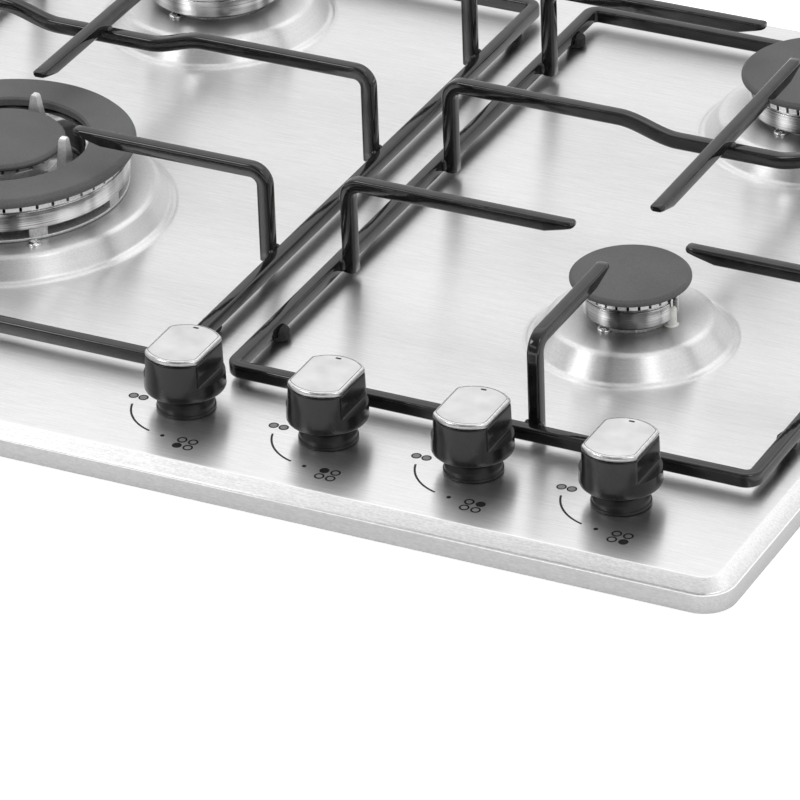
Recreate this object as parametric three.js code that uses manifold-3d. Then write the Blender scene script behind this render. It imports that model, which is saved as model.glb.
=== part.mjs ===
// A built-in gas cooktop with four burners, two wire pan supports and four control knobs.
// Millimetres, +Z up, X along the front edge, Y towards the back.
// The origin is the middle of the under box's floor, so the worktop plane lies at boxDepth.
import * as THREE from 'three';
import { mergeVertices } from 'three/addons/utils/BufferGeometryUtils.js';
import Module from 'manifold-3d';

const wasm = await Module();
wasm.setup();

// ---------------------------------------------------------------- driving dimensions

// Clearances
const seat = 0.3; // gap left between two pieces that rest on or touch each other
const overrun = 2; // how far a cutter runs past the face that it opens
const weldSink = 0.4; // how far one welded bar runs into the other

// Pressed steel top panel
const sheet = 1.2;
const panelWidth = 580;
const panelDepth = 510;
const panelCorner = 15;
const edgeHeight = 9.6; // upright flange that stands on the worktop
const edgeBand = 7.75; // width of the sloped band inside the flange
const edgeRise = 4; // rise of that band
const plateauRise = 12;
const plateauRun = 10.7; // width of the slope round each raised burner plateau
const plateauToe = 3.4; // width of the shallow step at the foot of the slope
const plateauToeRise = 1;
const plateauShoulder = 1.4; // rounding at the top of the slope
const panelSealWidth = 9;
const panelSealHeight = 2.5;

// Under box
const boxDepth = 42; // from the box floor to the worktop plane
const boxWidth = 554;
const boxLength = 476;
const boxCorner = 18;
const boxLip = 9;
const boxSheet = 1;
const ventLength = 120;
const ventWidth = 12;
const ventX = 90;
const ventY = 199;

// Burner places, in plan
const leftBurnerX = -164.8;
const rightBurnerX = 162;
const frontBurnerY = -67;
const rearBurnerY = 151.5;

// Auxiliary burner, front right
const smallBaseRadius = 48.8;
const smallCrownRadius = 22.3;
const smallCapRadius = 28;
const smallHoleRadius = 18.5;
const smallSlotCount = 18;

// Semi-rapid burners, at the back
const mediumBaseRadius = 58.8;
const mediumCrownRadius = 33.5;
const mediumCapRadius = 37.5;
const mediumHoleRadius = 28.5;
const mediumSlotCount = 24;

// Triple-ring burner, front left
const wokBaseRadius = 81.2;
const wokCrownRadius = 60.6;
const wokCapRadius = 64;
const wokCapHoleRadius = 42;
const wokHoleRadius = 44;
const wokSlotCount = 36;
const wokInnerRadius = 27;
const wokInnerCapRadius = 30.6;
const wokInnerSlotCount = 12;
const wokLegHeight = 6;
const wokLegCount = 8;
const wokLegWidth = 9;
const wokFootHeight = 1.4;
const wokRunWidth = 8.2; // the slope round the large plateau is steeper
const wokArmWidth = 13;
const wokArmCount = 4;
const wokTabRadius = 34.2; // middle of the upright tabs between the two rings
const wokTabLength = 4.8;
const wokTabWidth = 9.6;
const wokTabTopWidth = 3.4;
const wokTabRise = 8; // above the ring cap

// Heights that all burners share
const crownGap = 3.3; // crown above the plateau
const crownBand = 9.3; // polished band
const slotBand = 5.2; // slotted ring above the band
const wokSlotBand = 3.8;
const wokInnerDrop = 7.5; // underside of the inner ring below the ring cap's seat
const wokInnerLift = 2.2; // inner cap above the ring cap's seat
const capThickness = 3.6;
const ringCapThickness = 4.8;
const capEdge = 1;
const capDome = 0.4;
const capSpigotDepth = 2.5;
const slotWidth = 1.5;
const slotSill = 1; // solid strip between the band and the slots
const crownWall = 4.4;
const crownSpigotDepth = 6;

// Burner cups below the panel
const cupWall = 2.2;
const cupFlange = 7;
const cupFlangeThickness = 2;
const cupBottom = 28; // above the floor of the box
const cupFloor = 3;
const cupBossRadius = 6.5;
const cupBossLength = 8;
const jetRadius = 3;
const jetHeight = 7;

// Spark electrodes
const electrodeAngle = -4; // degrees from the outward side of the right burners, mirrored at the left
const electrodeRadius = 2.6;
const electrodeInset = 1.6; // axis inside the crown's outer face
const electrodeRise = 9; // ceramic above the plateau
const electrodeDepth = 16; // ceramic below the plateau
const electrodeCollar = 1.3;
const electrodeCollarHeight = 1.3;
const tipRadius = 0.8;
const tipLength = 4;
const notchWidth = 7.6;
const notchDepth = 5;

// Wire pan supports
const barWidth = 6.2;
const barHeight = 7;
const barEdge = 1.4; // rounding of the bar's long edges
const grateInward = 152.5; // from the burners' axes to the side nearer the middle of the panel
const grateOutward = 110;
const grateFront = -177.3;
const grateRear = 217.5;
const leftGrateShift = -5.3; // the left support stands this much nearer the front
const frameCorner = 8;
const railLift = 3.3; // underside of the frame above the panel
const fingerTop = 53.7; // top of the fingers above the panel
const bendRadius = 10.5;
const frontFingerY = -66.2;
const crossBarY = 41.6;
const rearFingerY = 151.5;
const tipClear = 28.2; // finger tips from the burner's axis
const wokTipClear = 43.5;
const wokBridgeClear = 38;
const tipFace = 3.2;
const tipTaper = 14;
const dipDepth = 6.6; // the cross bar dips under the long finger
const dipHalf = 25;
const dipRun = 30;

// Rubber feet of the pan supports
const footRadius = 4.6;
const footInset = 2.2; // axis from the rail's middle, towards the inside
const footGrip = 4; // how far the foot reaches up the rail's inner side
const footFrontInset = 46;
const footRearInset = 27;

// Knobs
const knobFirstX = 3.8;
const knobPitch = 71.65;
const knobY = -202.5;
const knobRadius = 18.6;
const knobTopRadius = 18.1;
const knobFlat = 13.4; // half width between the two flats
const knobLift = 10.7; // skirt above the panel
const knobLedge = 18.2; // ledge at the foot of the flats, above the panel
const knobTop = 29.7; // underside of the metal plate, above the panel
const knobWall = 2.2;
const knobRoof = 2;
const knobBossRadius = 5.6;
const knobBossLift = 4.5; // boss end above the skirt's rim
const plateThickness = 2.5;
const plateEdge = 1;
const plateInset = 0.1;
const knobTravel = 3.5;

// Collars that close the knob holes
const collarFlangeRadius = 13.6;
const collarRadius = 13.2;
const collarTopRadius = 11.7;
const collarHeight = 7.9;
const collarShoulder = 4.2; // where the collar starts to round in
const collarWall = 2;
const collarFlangeHeight = 1.2;
const collarBore = 6;
const knobHoleRadius = 8;

// Spindles, plugs and valves
const spindleRadius = 3.2;
const spindleFlat = 1.7;
const spindleFlatLength = 15;
const spindleBottom = 30; // above the floor of the box
const spindleInKnob = 24; // top of the spindle above the panel
const plugTop = 33;
const plugBottom = 14;
const plugTopRadius = 6.4;
const plugBottomRadius = 5;
const plugSocketDepth = 8;
const plugGap = 0.35;
const valveRadius = 11;
const valveBottom = 10;
const valveShoulder = 36;
const bonnetRadius = 8;
const bonnetTop = 42;
const outletHeight = 34;
const outletRadius = 5;
const outletReach = 17;
const valveArmWidth = 13;
const valveArmHeight = 12;

// Gas rail and pipes
const railPipeRadius = 8;
const railPipeHeight = 20;
const railPipeOffset = 24; // behind the knob axes
const railPipeLeft = -12;
const railPipeRight = 244;
const inletRadius = 10.4;
const inletLength = 22;
const inletReach = 250;
const inletNutRadius = 13;
const inletNutLength = 9;
const bracketWidth = 16;
const pipeRadius = 4;
const pipeSteps = 18;
const pipeSides = 8;

// Spark generator
const igniterX = -20;
const igniterY = 62;
const igniterLength = 64;
const igniterDepth = 36;
const igniterHeight = 22;
const igniterEdge = 2;
const terminalRadius = 3.4;
const terminalLength = 8;
const terminalPitch = 13;

// Facets round a full turn
const roundFine = 36;
const roundMedium = 24;
const roundSmall = 12;

// ---------------------------------------------------------------- values that follow

const fieldTop = boxDepth + edgeHeight + edgeRise;
const fieldUnder = fieldTop - sheet;
const plateauTop = fieldTop + plateauRise;
const plateauUnder = plateauTop - sheet;
const railBottom = fieldTop + railLift;
const railTop = railBottom + barHeight;
const fingerTopZ = fieldTop + fingerTop;
const fingerUnder = fingerTopZ - barHeight;

const knobX = (index) => knobFirstX + index * knobPitch;

// ---------------------------------------------------------------- materials

function finish(color, roughness, metalness) {
  return new THREE.MeshStandardMaterial({ color, roughness, metalness });
}

const brushedSteel = finish(0xd9d9d9, 0.35, 1);
const galvanised = finish(0xa9acae, 0.55, 1);
const castAluminium = finish(0xc8c8c6, 0.4, 1);
const blackEnamel = finish(0x121213, 0.12, 0);
const capEnamel = finish(0x3d3d3f, 0.6, 0);
const blackPlastic = finish(0x101011, 0.15, 0);
const satinMetal = finish(0xe0e0e0, 0.25, 1);
const rubber = finish(0x18181a, 0.85, 0);
const foam = finish(0x3a3a3a, 0.95, 0);
const brass = finish(0xb59a4d, 0.35, 1);
const ceramic = finish(0xf0efe9, 0.4, 0);
const plasticCase = finish(0xe6e4dd, 0.5, 0);

// ---------------------------------------------------------------- solids

// Turns a closed three.js geometry into a solid with its faces pointing out.
function solid(geometry) {
  const bare = geometry.clone();
  bare.deleteAttribute('normal');
  bare.deleteAttribute('uv');
  const merged = mergeVertices(bare);
  const place = merged.attributes.position.array;
  const index = merged.index.array;
  const corners = [];
  let volume = 0;
  const a = new THREE.Vector3();
  const b = new THREE.Vector3();
  const c = new THREE.Vector3();
  for (let i = 0; i < index.length; i += 3) {
    const [p, q, r] = [index[i], index[i + 1], index[i + 2]];
    if (p === q || q === r || r === p) continue;
    corners.push(p, q, r);
    a.fromArray(place, p * 3);
    b.fromArray(place, q * 3);
    c.fromArray(place, r * 3);
    volume += a.dot(b.cross(c));
  }
  if (volume < 0) corners.reverse();
  const vertProperties = new Float32Array(place);
  const triVerts = new Uint32Array(corners);
  return new wasm.Manifold(new wasm.Mesh({ numProp: 3, vertProperties, triVerts }));
}

function union(solids) {
  return solids.reduce((whole, piece) => whole.add(piece));
}

function block(x0, x1, y0, y1, z0, z1) {
  const geometry = new THREE.BoxGeometry(x1 - x0, y1 - y0, z1 - z0);
  geometry.translate((x0 + x1) / 2, (y0 + y1) / 2, (z0 + z1) / 2);
  return solid(geometry);
}

// A revolve about Z of a closed outline of [radius, height] points.
function turned(outline, segments) {
  const points = outline.map(([radius, height]) => new THREE.Vector2(radius, height));
  const geometry = new THREE.LatheGeometry([...points, points[0]], segments);
  geometry.rotateX(Math.PI / 2);
  return solid(geometry);
}

// An upright round bar.
function post(radius, z0, z1, segments) {
  return turned([[0, z0], [radius, z0], [radius, z1], [0, z1]], segments);
}

// A round bar along Y, between y0 and y1.
function barAlongY(radius, y0, y1, height, segments) {
  const geometry = new THREE.CylinderGeometry(radius, radius, y1 - y0, segments);
  geometry.translate(0, (y0 + y1) / 2, height);
  return solid(geometry);
}

// A round bar along X, between x0 and x1.
function barAlongX(radius, x0, x1, height, segments) {
  const geometry = new THREE.CylinderGeometry(radius, radius, x1 - x0, segments);
  geometry.rotateZ(Math.PI / 2);
  geometry.translate((x0 + x1) / 2, 0, height);
  return solid(geometry);
}

function roundedRectangle(width, depth, radius, Kind = THREE.Shape) {
  const outline = new Kind();
  const x = width / 2 - radius;
  const y = depth / 2 - radius;
  outline.absarc(x, y, radius, 0, Math.PI / 2, false);
  outline.absarc(-x, y, radius, Math.PI / 2, Math.PI, false);
  outline.absarc(-x, -y, radius, Math.PI, 1.5 * Math.PI, false);
  outline.absarc(x, -y, radius, 1.5 * Math.PI, 2 * Math.PI, false);
  outline.closePath();
  return outline;
}

// A plate of the given outline between z0 and z1.
function plate(outline, z0, z1, curveSegments) {
  const geometry = new THREE.ExtrudeGeometry(outline, {
    depth: z1 - z0,
    bevelEnabled: false,
    curveSegments,
  });
  geometry.translate(0, 0, z0);
  return solid(geometry);
}

// A plate whose edges are broken all round by the given amount.
function softPlate(outline, z0, z1, edge, curveSegments) {
  const geometry = new THREE.ExtrudeGeometry(outline, {
    depth: z1 - z0 - 2 * edge,
    bevelEnabled: true,
    bevelThickness: edge,
    bevelSize: edge,
    bevelOffset: -edge,
    bevelSegments: 1,
    curveSegments,
  });
  geometry.translate(0, 0, z0 + edge);
  return solid(geometry);
}

// The same radial cutter repeated round the axis.
function aroundAxis(cutter, count, firstAngle = 0) {
  const copies = [];
  for (let i = 0; i < count; i += 1) {
    copies.push(cutter.rotate([0, 0, firstAngle + (360 * i) / count]));
  }
  return union(copies);
}

// ---------------------------------------------------------------- assembly

const cooktop = new THREE.Group();
cooktop.name = 'gas_cooktop';

function addPiece(name, shape, material) {
  const { vertProperties, triVerts } = shape.getMesh();
  const geometry = new THREE.BufferGeometry();
  geometry.setAttribute('position', new THREE.BufferAttribute(vertProperties, 3));
  geometry.setIndex(new THREE.BufferAttribute(triVerts, 1));
  geometry.computeVertexNormals();
  const mesh = new THREE.Mesh(geometry, material);
  mesh.name = name;
  cooktop.add(mesh);
}

// ---------------------------------------------------------------- burners

const smallBurner = {
  base: smallBaseRadius,
  run: plateauRun,
  hole: smallHoleRadius,
  crown: smallCrownRadius,
  cap: smallCapRadius,
  slots: smallSlotCount,
  facets: roundMedium,
};
const mediumBurner = {
  base: mediumBaseRadius,
  run: plateauRun,
  hole: mediumHoleRadius,
  crown: mediumCrownRadius,
  cap: mediumCapRadius,
  slots: mediumSlotCount,
  facets: roundMedium,
};
const wokBurner = {
  base: wokBaseRadius,
  run: wokRunWidth,
  hole: wokHoleRadius,
  crown: wokCrownRadius,
  cap: wokCapRadius,
  slots: wokSlotCount,
  facets: roundFine,
};

// One entry per burner, in the order of the knobs from left to right. The side is where the pipe
// comes in, and the spark is the direction of the electrode.
const leftSpark = 180 - electrodeAngle;
const rightSpark = electrodeAngle;
const burners = [
  { name: 'front_left', x: leftBurnerX, y: frontBurnerY, side: 1, spark: leftSpark, kind: wokBurner },
  { name: 'rear_left', x: leftBurnerX, y: rearBurnerY, side: 1, spark: leftSpark, kind: mediumBurner },
  { name: 'rear_right', x: rightBurnerX, y: rearBurnerY, side: -1, spark: rightSpark, kind: mediumBurner },
  { name: 'front_right', x: rightBurnerX, y: frontBurnerY, side: 1, spark: rightSpark, kind: smallBurner },
];

// The raised cone of one burner, as seen from above.
function plateauCone(kind) {
  const shoulder = kind.base - kind.run;
  return turned([
    [0, fieldUnder],
    [kind.base, fieldUnder],
    [kind.base, fieldTop],
    [kind.base - plateauToe, fieldTop + plateauToeRise],
    [shoulder + plateauShoulder / 2, plateauTop - plateauShoulder],
    [shoulder - plateauShoulder, plateauTop],
    [0, plateauTop],
  ], roundFine);
}

// The hollow under that cone.
function plateauHollow(kind) {
  const mouth = kind.base - plateauToe - sheet;
  return turned([
    [0, fieldUnder - overrun],
    [mouth, fieldUnder - overrun],
    [mouth, fieldUnder],
    [kind.base - kind.run - sheet, plateauUnder],
    [0, plateauUnder],
  ], roundFine);
}

// The place of a burner's electrode, from the burner's axis.
function electrodeOffset({ kind, spark }) {
  const reach = kind.crown - electrodeInset;
  const angle = THREE.MathUtils.degToRad(spark);
  return { x: reach * Math.cos(angle), y: reach * Math.sin(angle) };
}

function panelSkin(inset) {
  const width = panelWidth - 2 * inset;
  const depth = panelDepth - 2 * inset;
  const shoulder = boxDepth + edgeHeight - inset;
  const geometry = new THREE.ExtrudeGeometry(roundedRectangle(width, depth, panelCorner - inset), {
    depth: edgeHeight + edgeRise + overrun,
    bevelEnabled: true,
    bevelThickness: edgeRise,
    bevelSize: edgeBand,
    bevelOffset: -edgeBand,
    bevelSegments: 1,
    curveSegments: 3,
  });
  geometry.translate(0, 0, shoulder - (edgeHeight + edgeRise + overrun));
  return solid(geometry);
}

function makeTopPanel() {
  const cones = (make) => burners.map(({ x, y, kind }) => make(kind).translate([x, y, 0]));
  const outer = union([panelSkin(0), ...cones(plateauCone)]);
  const inner = union([panelSkin(sheet), ...cones(plateauHollow)]);
  const below = block(-panelWidth, panelWidth, -panelDepth, panelDepth, 0, boxDepth);
  let panel = outer.subtract(inner).subtract(below);
  for (const burner of burners) {
    const { x, y, kind } = burner;
    panel = panel.subtract(
      post(kind.hole, fieldTop, plateauTop + overrun, kind.facets).translate([x, y, 0]),
    );
    const place = electrodeOffset(burner);
    const clear = electrodeRadius + electrodeCollar + seat;
    panel = panel.subtract(
      post(clear, fieldTop, plateauTop + overrun, roundSmall).translate([x + place.x, y + place.y, 0]),
    );
  }
  for (let i = 0; i < burners.length; i += 1) {
    panel = panel.subtract(
      post(knobHoleRadius, boxDepth, fieldTop + overrun, roundSmall).translate([knobX(i), knobY, 0]),
    );
  }
  return panel;
}

function makeWorktopSeal() {
  const width = panelWidth - 2 * (sheet + seat);
  const depth = panelDepth - 2 * (sheet + seat);
  const corner = panelCorner - sheet - seat;
  const outline = roundedRectangle(width, depth, corner);
  const gap = 2 * panelSealWidth;
  outline.holes.push(roundedRectangle(width - gap, depth - gap, corner - panelSealWidth / 2, THREE.Path));
  return plate(outline, boxDepth, boxDepth + panelSealHeight, 2);
}

function makeUnderBox() {
  const top = fieldUnder - seat;
  const outline = (inset) => roundedRectangle(boxWidth - 2 * inset, boxLength - 2 * inset, boxCorner - inset);
  let box = plate(outline(0), 0, top, 2);
  box = box.subtract(plate(outline(boxSheet), boxSheet, top - boxSheet, 2));
  box = box.subtract(plate(outline(boxLip), boxSheet + overrun, top + overrun, 2));
  const [ventHalf, ventSide] = [ventLength / 2, ventWidth / 2];
  const vent = block(-ventHalf, ventHalf, ventY - ventSide, ventY + ventSide, -overrun, boxSheet + overrun);
  for (const x of [-ventX, ventX]) {
    box = box.subtract(vent.translate([x, 0, 0]));
  }
  const inlet = barAlongY(inletRadius + seat, boxLength / 2 - boxLip, boxLength, railPipeHeight, roundSmall);
  box = box.subtract(inlet.translate([railPipeRight, 0, 0]));
  // Pressed lugs that carry the gas rail between the valves.
  const lugY = knobY + railPipeOffset;
  const lugTop = railPipeHeight - railPipeRadius - seat;
  for (const i of [0, 2]) {
    const x = knobX(i) + knobPitch / 2;
    const lug = block(
      x - bracketWidth / 2,
      x + bracketWidth / 2,
      lugY - railPipeRadius,
      lugY + railPipeRadius,
      boxSheet / 2,
      lugTop,
    );
    box = box.add(lug);
  }
  return box;
}

// The cup under the panel that takes the jet and carries the crown.
function makeBurnerCup(burner) {
  const { x, y, side, kind } = burner;
  const neck = kind.hole - seat;
  const inner = neck - cupWall;
  const flangeTop = plateauUnder - seat;
  const flangeUnder = flangeTop - cupFlangeThickness;
  const rim = kind === wokBurner ? plateauTop : plateauTop + crownGap - seat;
  let cup = turned([
    [0, cupBottom],
    [neck - cupWall, cupBottom],
    [neck, cupBottom + cupWall],
    [neck, flangeUnder],
    [neck + cupFlange, flangeUnder],
    [neck + cupFlange, flangeTop],
    [neck, flangeTop],
    [neck, rim],
    [inner, rim],
    [inner, cupBottom + cupFloor],
    [jetRadius, cupBottom + cupFloor],
    [jetRadius, cupBottom + cupFloor + jetHeight],
    [0, cupBottom + cupFloor + jetHeight],
  ], kind.facets);
  const bossX = [neck - cupWall / 2, neck + cupBossLength];
  const boss = side > 0
    ? barAlongX(cupBossRadius, bossX[0], bossX[1], outletHeight, roundSmall)
    : barAlongX(cupBossRadius, -bossX[1], -bossX[0], outletHeight, roundSmall);
  const place = electrodeOffset(burner);
  const clear = electrodeRadius + seat;
  const socket = post(clear, cupBottom + cupFloor, plateauTop + overrun, roundSmall);
  cup = cup.add(boss).subtract(socket.translate([place.x, place.y, 0]));
  const collarClear = electrodeRadius + electrodeCollar + seat;
  const collarTop = post(collarClear, flangeTop - seat, plateauTop + crownGap, roundSmall);
  return cup.subtract(collarTop.translate([place.x, place.y, 0])).translate([x, y, 0]);
}

// A radial slot cutter that opens the ring wall of a crown.
function slotCutter(radius, wall, z0, z1) {
  return block(radius - wall - overrun / 2, radius + overrun, -slotWidth / 2, slotWidth / 2, z0, z1);
}

// Room in a crown for its electrode.
function electrodeNotch({ kind, spark }, z0, z1) {
  const cutter = block(
    kind.crown - notchDepth,
    kind.crown + overrun,
    -notchWidth / 2,
    notchWidth / 2,
    z0,
    z1,
  );
  return cutter.rotate([0, 0, spark]);
}

const crownBottom = plateauTop + crownGap;
const crownTop = crownBottom + crownBand + slotBand;

function makeCrown(burner) {
  const { x, y, kind } = burner;
  const spigot = kind.hole - seat - cupWall - seat;
  const bore = spigot - cupWall;
  const chamber = kind.crown - crownWall;
  const bandTop = crownBottom + crownBand;
  const step = capEdge / 2;
  let crown = turned([
    [bore, crownBottom - crownSpigotDepth],
    [spigot, crownBottom - crownSpigotDepth],
    [spigot, crownBottom],
    [kind.crown - capEdge, crownBottom],
    [kind.crown, crownBottom + capEdge],
    [kind.crown, bandTop],
    [kind.crown - step, bandTop],
    [kind.crown - step, crownTop],
    [chamber, crownTop],
    [chamber, crownBottom + cupWall],
    [bore, crownBottom + cupWall],
  ], kind.facets);
  const cutter = slotCutter(kind.crown, crownWall, bandTop + slotSill, crownTop + overrun);
  crown = crown.subtract(aroundAxis(cutter, kind.slots, 180 / kind.slots));
  crown = crown.subtract(electrodeNotch(burner, crownBottom - overrun, crownTop + overrun));
  return crown.translate([x, y, 0]);
}

function makeCap({ x, y, kind }) {
  const under = crownTop + seat;
  const spigot = kind.crown - crownWall - seat;
  const top = under + capThickness;
  const lip = under - capSpigotDepth;
  const relief = notchDepth - crownWall + seat;
  return turned([
    [0, lip],
    [spigot - relief, lip],
    [spigot - relief, under],
    [kind.cap - capEdge, under],
    [kind.cap, under + capEdge],
    [kind.cap, top - capEdge],
    [kind.cap - capEdge, top],
    [0, top + capDome],
  ], roundMedium).translate([x, y, 0]);
}

// Heights of the triple-ring burner
const wokFoot = plateauTop + seat;
const wokBandBottom = wokFoot + wokLegHeight;
const wokBandTop = wokBandBottom + crownBand;
const wokCrownTop = wokBandTop + wokSlotBand;
const wokInnerTop = wokCrownTop + wokInnerLift;

// One casting: foot ring, legs, outer ring, four arms with tabs and the inner ring.
function makeWokCrown(burner) {
  const { x, y, kind } = burner;
  const chamberOut = kind.crown - crownWall;
  const chamberIn = wokCapHoleRadius + crownWall / 2;
  const wallIn = wokCapHoleRadius - crownWall / 2;
  const step = capEdge / 2;
  const floor = wokBandBottom + cupWall;
  const outer = turned([
    [chamberIn, wokFoot],
    [kind.crown, wokFoot],
    [kind.crown, wokBandTop],
    [kind.crown - step, wokBandTop],
    [kind.crown - step, wokCrownTop],
    [chamberOut, wokCrownTop],
    [chamberOut, floor],
    [chamberIn, floor],
    [chamberIn, wokCrownTop],
    [wallIn, wokCrownTop],
    [wallIn, wokBandBottom],
    [chamberIn, wokBandBottom],
  ], kind.facets);
  const windows = [];
  const sector = 360 / wokLegCount;
  const gap = (Math.PI * kind.crown * 2) / wokLegCount - wokLegWidth;
  for (let i = 0; i < wokLegCount; i += 1) {
    const window = block(0, kind.crown + overrun, -gap / 2, gap / 2, wokFoot + wokFootHeight, wokBandBottom);
    windows.push(window.rotate([0, 0, (i + 0.5) * sector]));
  }
  const core = post(chamberIn - overrun, wokFoot, wokBandBottom, roundMedium);
  let crown = outer.subtract(union(windows).subtract(core));
  const outerSlot = slotCutter(kind.crown, crownWall, wokBandTop + slotSill / 2, wokCrownTop + overrun);
  crown = crown.subtract(aroundAxis(outerSlot, kind.slots, 180 / kind.slots));

  const innerBottom = wokCrownTop - wokInnerDrop;
  let inner = turned([
    [wokInnerRadius - crownWall, innerBottom],
    [wokInnerRadius, innerBottom],
    [wokInnerRadius, wokInnerTop],
    [wokInnerRadius - crownWall, wokInnerTop],
  ], roundMedium);
  const innerSlot = slotCutter(wokInnerRadius, crownWall, wokInnerTop - slotBand / 2, wokInnerTop + overrun);
  inner = inner.subtract(aroundAxis(innerSlot, wokInnerSlotCount, 180 / wokInnerSlotCount));

  const armInside = wokInnerRadius - crownWall / 2;
  const armOutside = wokCapHoleRadius;
  const arm = block(
    armInside,
    armOutside,
    -wokArmWidth / 2,
    wokArmWidth / 2,
    innerBottom,
    wokCrownTop - wokSlotBand,
  );
  const tabOutline = new THREE.Shape();
  const tabTop = wokCrownTop + ringCapThickness + wokTabRise;
  tabOutline.moveTo(-wokTabWidth / 2, innerBottom + seat);
  tabOutline.lineTo(wokTabWidth / 2, innerBottom + seat);
  tabOutline.lineTo(wokTabTopWidth / 2, tabTop - wokTabTopWidth / 2);
  tabOutline.lineTo(wokTabTopWidth / 4, tabTop);
  tabOutline.lineTo(-wokTabTopWidth / 4, tabTop);
  tabOutline.lineTo(-wokTabTopWidth / 2, tabTop - wokTabTopWidth / 2);
  tabOutline.closePath();
  const tabGeometry = new THREE.ExtrudeGeometry(tabOutline, { depth: wokTabLength, bevelEnabled: false });
  tabGeometry.translate(0, 0, wokTabRadius - wokTabLength / 2);
  tabGeometry.rotateX(Math.PI / 2);
  tabGeometry.rotateZ(Math.PI / 2);
  const spoke = arm.add(solid(tabGeometry));
  crown = union([crown, inner, aroundAxis(spoke, wokArmCount)]);
  crown = crown.subtract(electrodeNotch(burner, wokFoot - overrun, wokCrownTop + overrun));
  return crown.translate([x, y, 0]);
}

function makeRingCap({ x, y, kind }) {
  const under = wokCrownTop + seat;
  const top = under + ringCapThickness;
  const hole = wokCapHoleRadius;
  return turned([
    [hole, under],
    [kind.cap - capEdge, under],
    [kind.cap, under + capEdge],
    [kind.cap, top - 2 * capEdge],
    [kind.cap - 2 * capEdge, top],
    [hole + capEdge, top],
    [hole, top - capEdge],
  ], kind.facets).translate([x, y, 0]);
}

function makeInnerCap({ x, y }) {
  const under = wokInnerTop + seat;
  const top = under + capThickness;
  const spigot = wokInnerRadius - crownWall - seat;
  return turned([
    [0, under - capSpigotDepth],
    [spigot, under - capSpigotDepth],
    [spigot, under],
    [wokInnerCapRadius - capEdge, under],
    [wokInnerCapRadius, under + capEdge],
    [wokInnerCapRadius, top - capEdge],
    [wokInnerCapRadius - capEdge, top],
    [0, top + capDome],
  ], roundMedium).translate([x, y, 0]);
}

function makeElectrode(burner) {
  const place = electrodeOffset(burner);
  const bottom = plateauTop - electrodeDepth;
  const top = plateauTop + electrodeRise;
  const collarUnder = plateauUnder - seat;
  const wide = electrodeRadius + electrodeCollar;
  return turned([
    [0, bottom],
    [electrodeRadius, bottom],
    [electrodeRadius, collarUnder],
    [wide, collarUnder],
    [wide, collarUnder + electrodeCollarHeight],
    [electrodeRadius, collarUnder + electrodeCollarHeight],
    [electrodeRadius, top],
    [tipRadius, top],
    [tipRadius, top + tipLength],
    [0, top + tipLength],
  ], roundSmall / 2).translate([burner.x + place.x, burner.y + place.y, 0]);
}

// ---------------------------------------------------------------- pan supports

// Extrudes a bar's side outline, drawn as distance along the bar against height.
function bentBar(outline) {
  const geometry = new THREE.ExtrudeGeometry(outline, {
    depth: barWidth - 2 * barEdge,
    bevelEnabled: true,
    bevelThickness: barEdge,
    bevelSize: barEdge,
    bevelOffset: -barEdge,
    bevelSegments: 1,
    curveSegments: 2,
  });
  geometry.translate(0, 0, barEdge - barWidth / 2);
  geometry.rotateX(Math.PI / 2);
  return solid(geometry);
}

// The upright start of a bar: leg, bend and the first of the level top.
function startLeg(outline, footing) {
  outline.moveTo(0, footing);
  outline.lineTo(0, fingerTopZ - bendRadius);
  outline.absarc(bendRadius, fingerTopZ - bendRadius, bendRadius, Math.PI, Math.PI / 2, true);
}

function endLeg(outline, footing) {
  const inner = bendRadius - barHeight;
  const turn = fingerUnder - inner;
  outline.lineTo(bendRadius, fingerUnder);
  outline.absarc(bendRadius, turn, inner, Math.PI / 2, Math.PI, false);
  outline.lineTo(barHeight, footing);
  outline.closePath();
}

// A leg with a finger whose tapered tip ends at the given length.
function finger(length, footing = railBottom) {
  const outline = new THREE.Shape();
  startLeg(outline, footing);
  outline.lineTo(length, fingerTopZ);
  outline.lineTo(length, fingerTopZ - tipFace);
  outline.lineTo(length - tipTaper, fingerUnder);
  endLeg(outline, footing);
  return bentBar(outline);
}

// The loose-ended finger that bridges the cross bar.
function longFinger(length) {
  const outline = new THREE.Shape();
  outline.moveTo(0, fingerTopZ - tipFace);
  outline.lineTo(0, fingerTopZ);
  outline.lineTo(length, fingerTopZ);
  outline.lineTo(length, fingerTopZ - tipFace);
  outline.lineTo(length - tipTaper, fingerUnder);
  outline.lineTo(tipTaper, fingerUnder);
  outline.closePath();
  return bentBar(outline);
}

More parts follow.
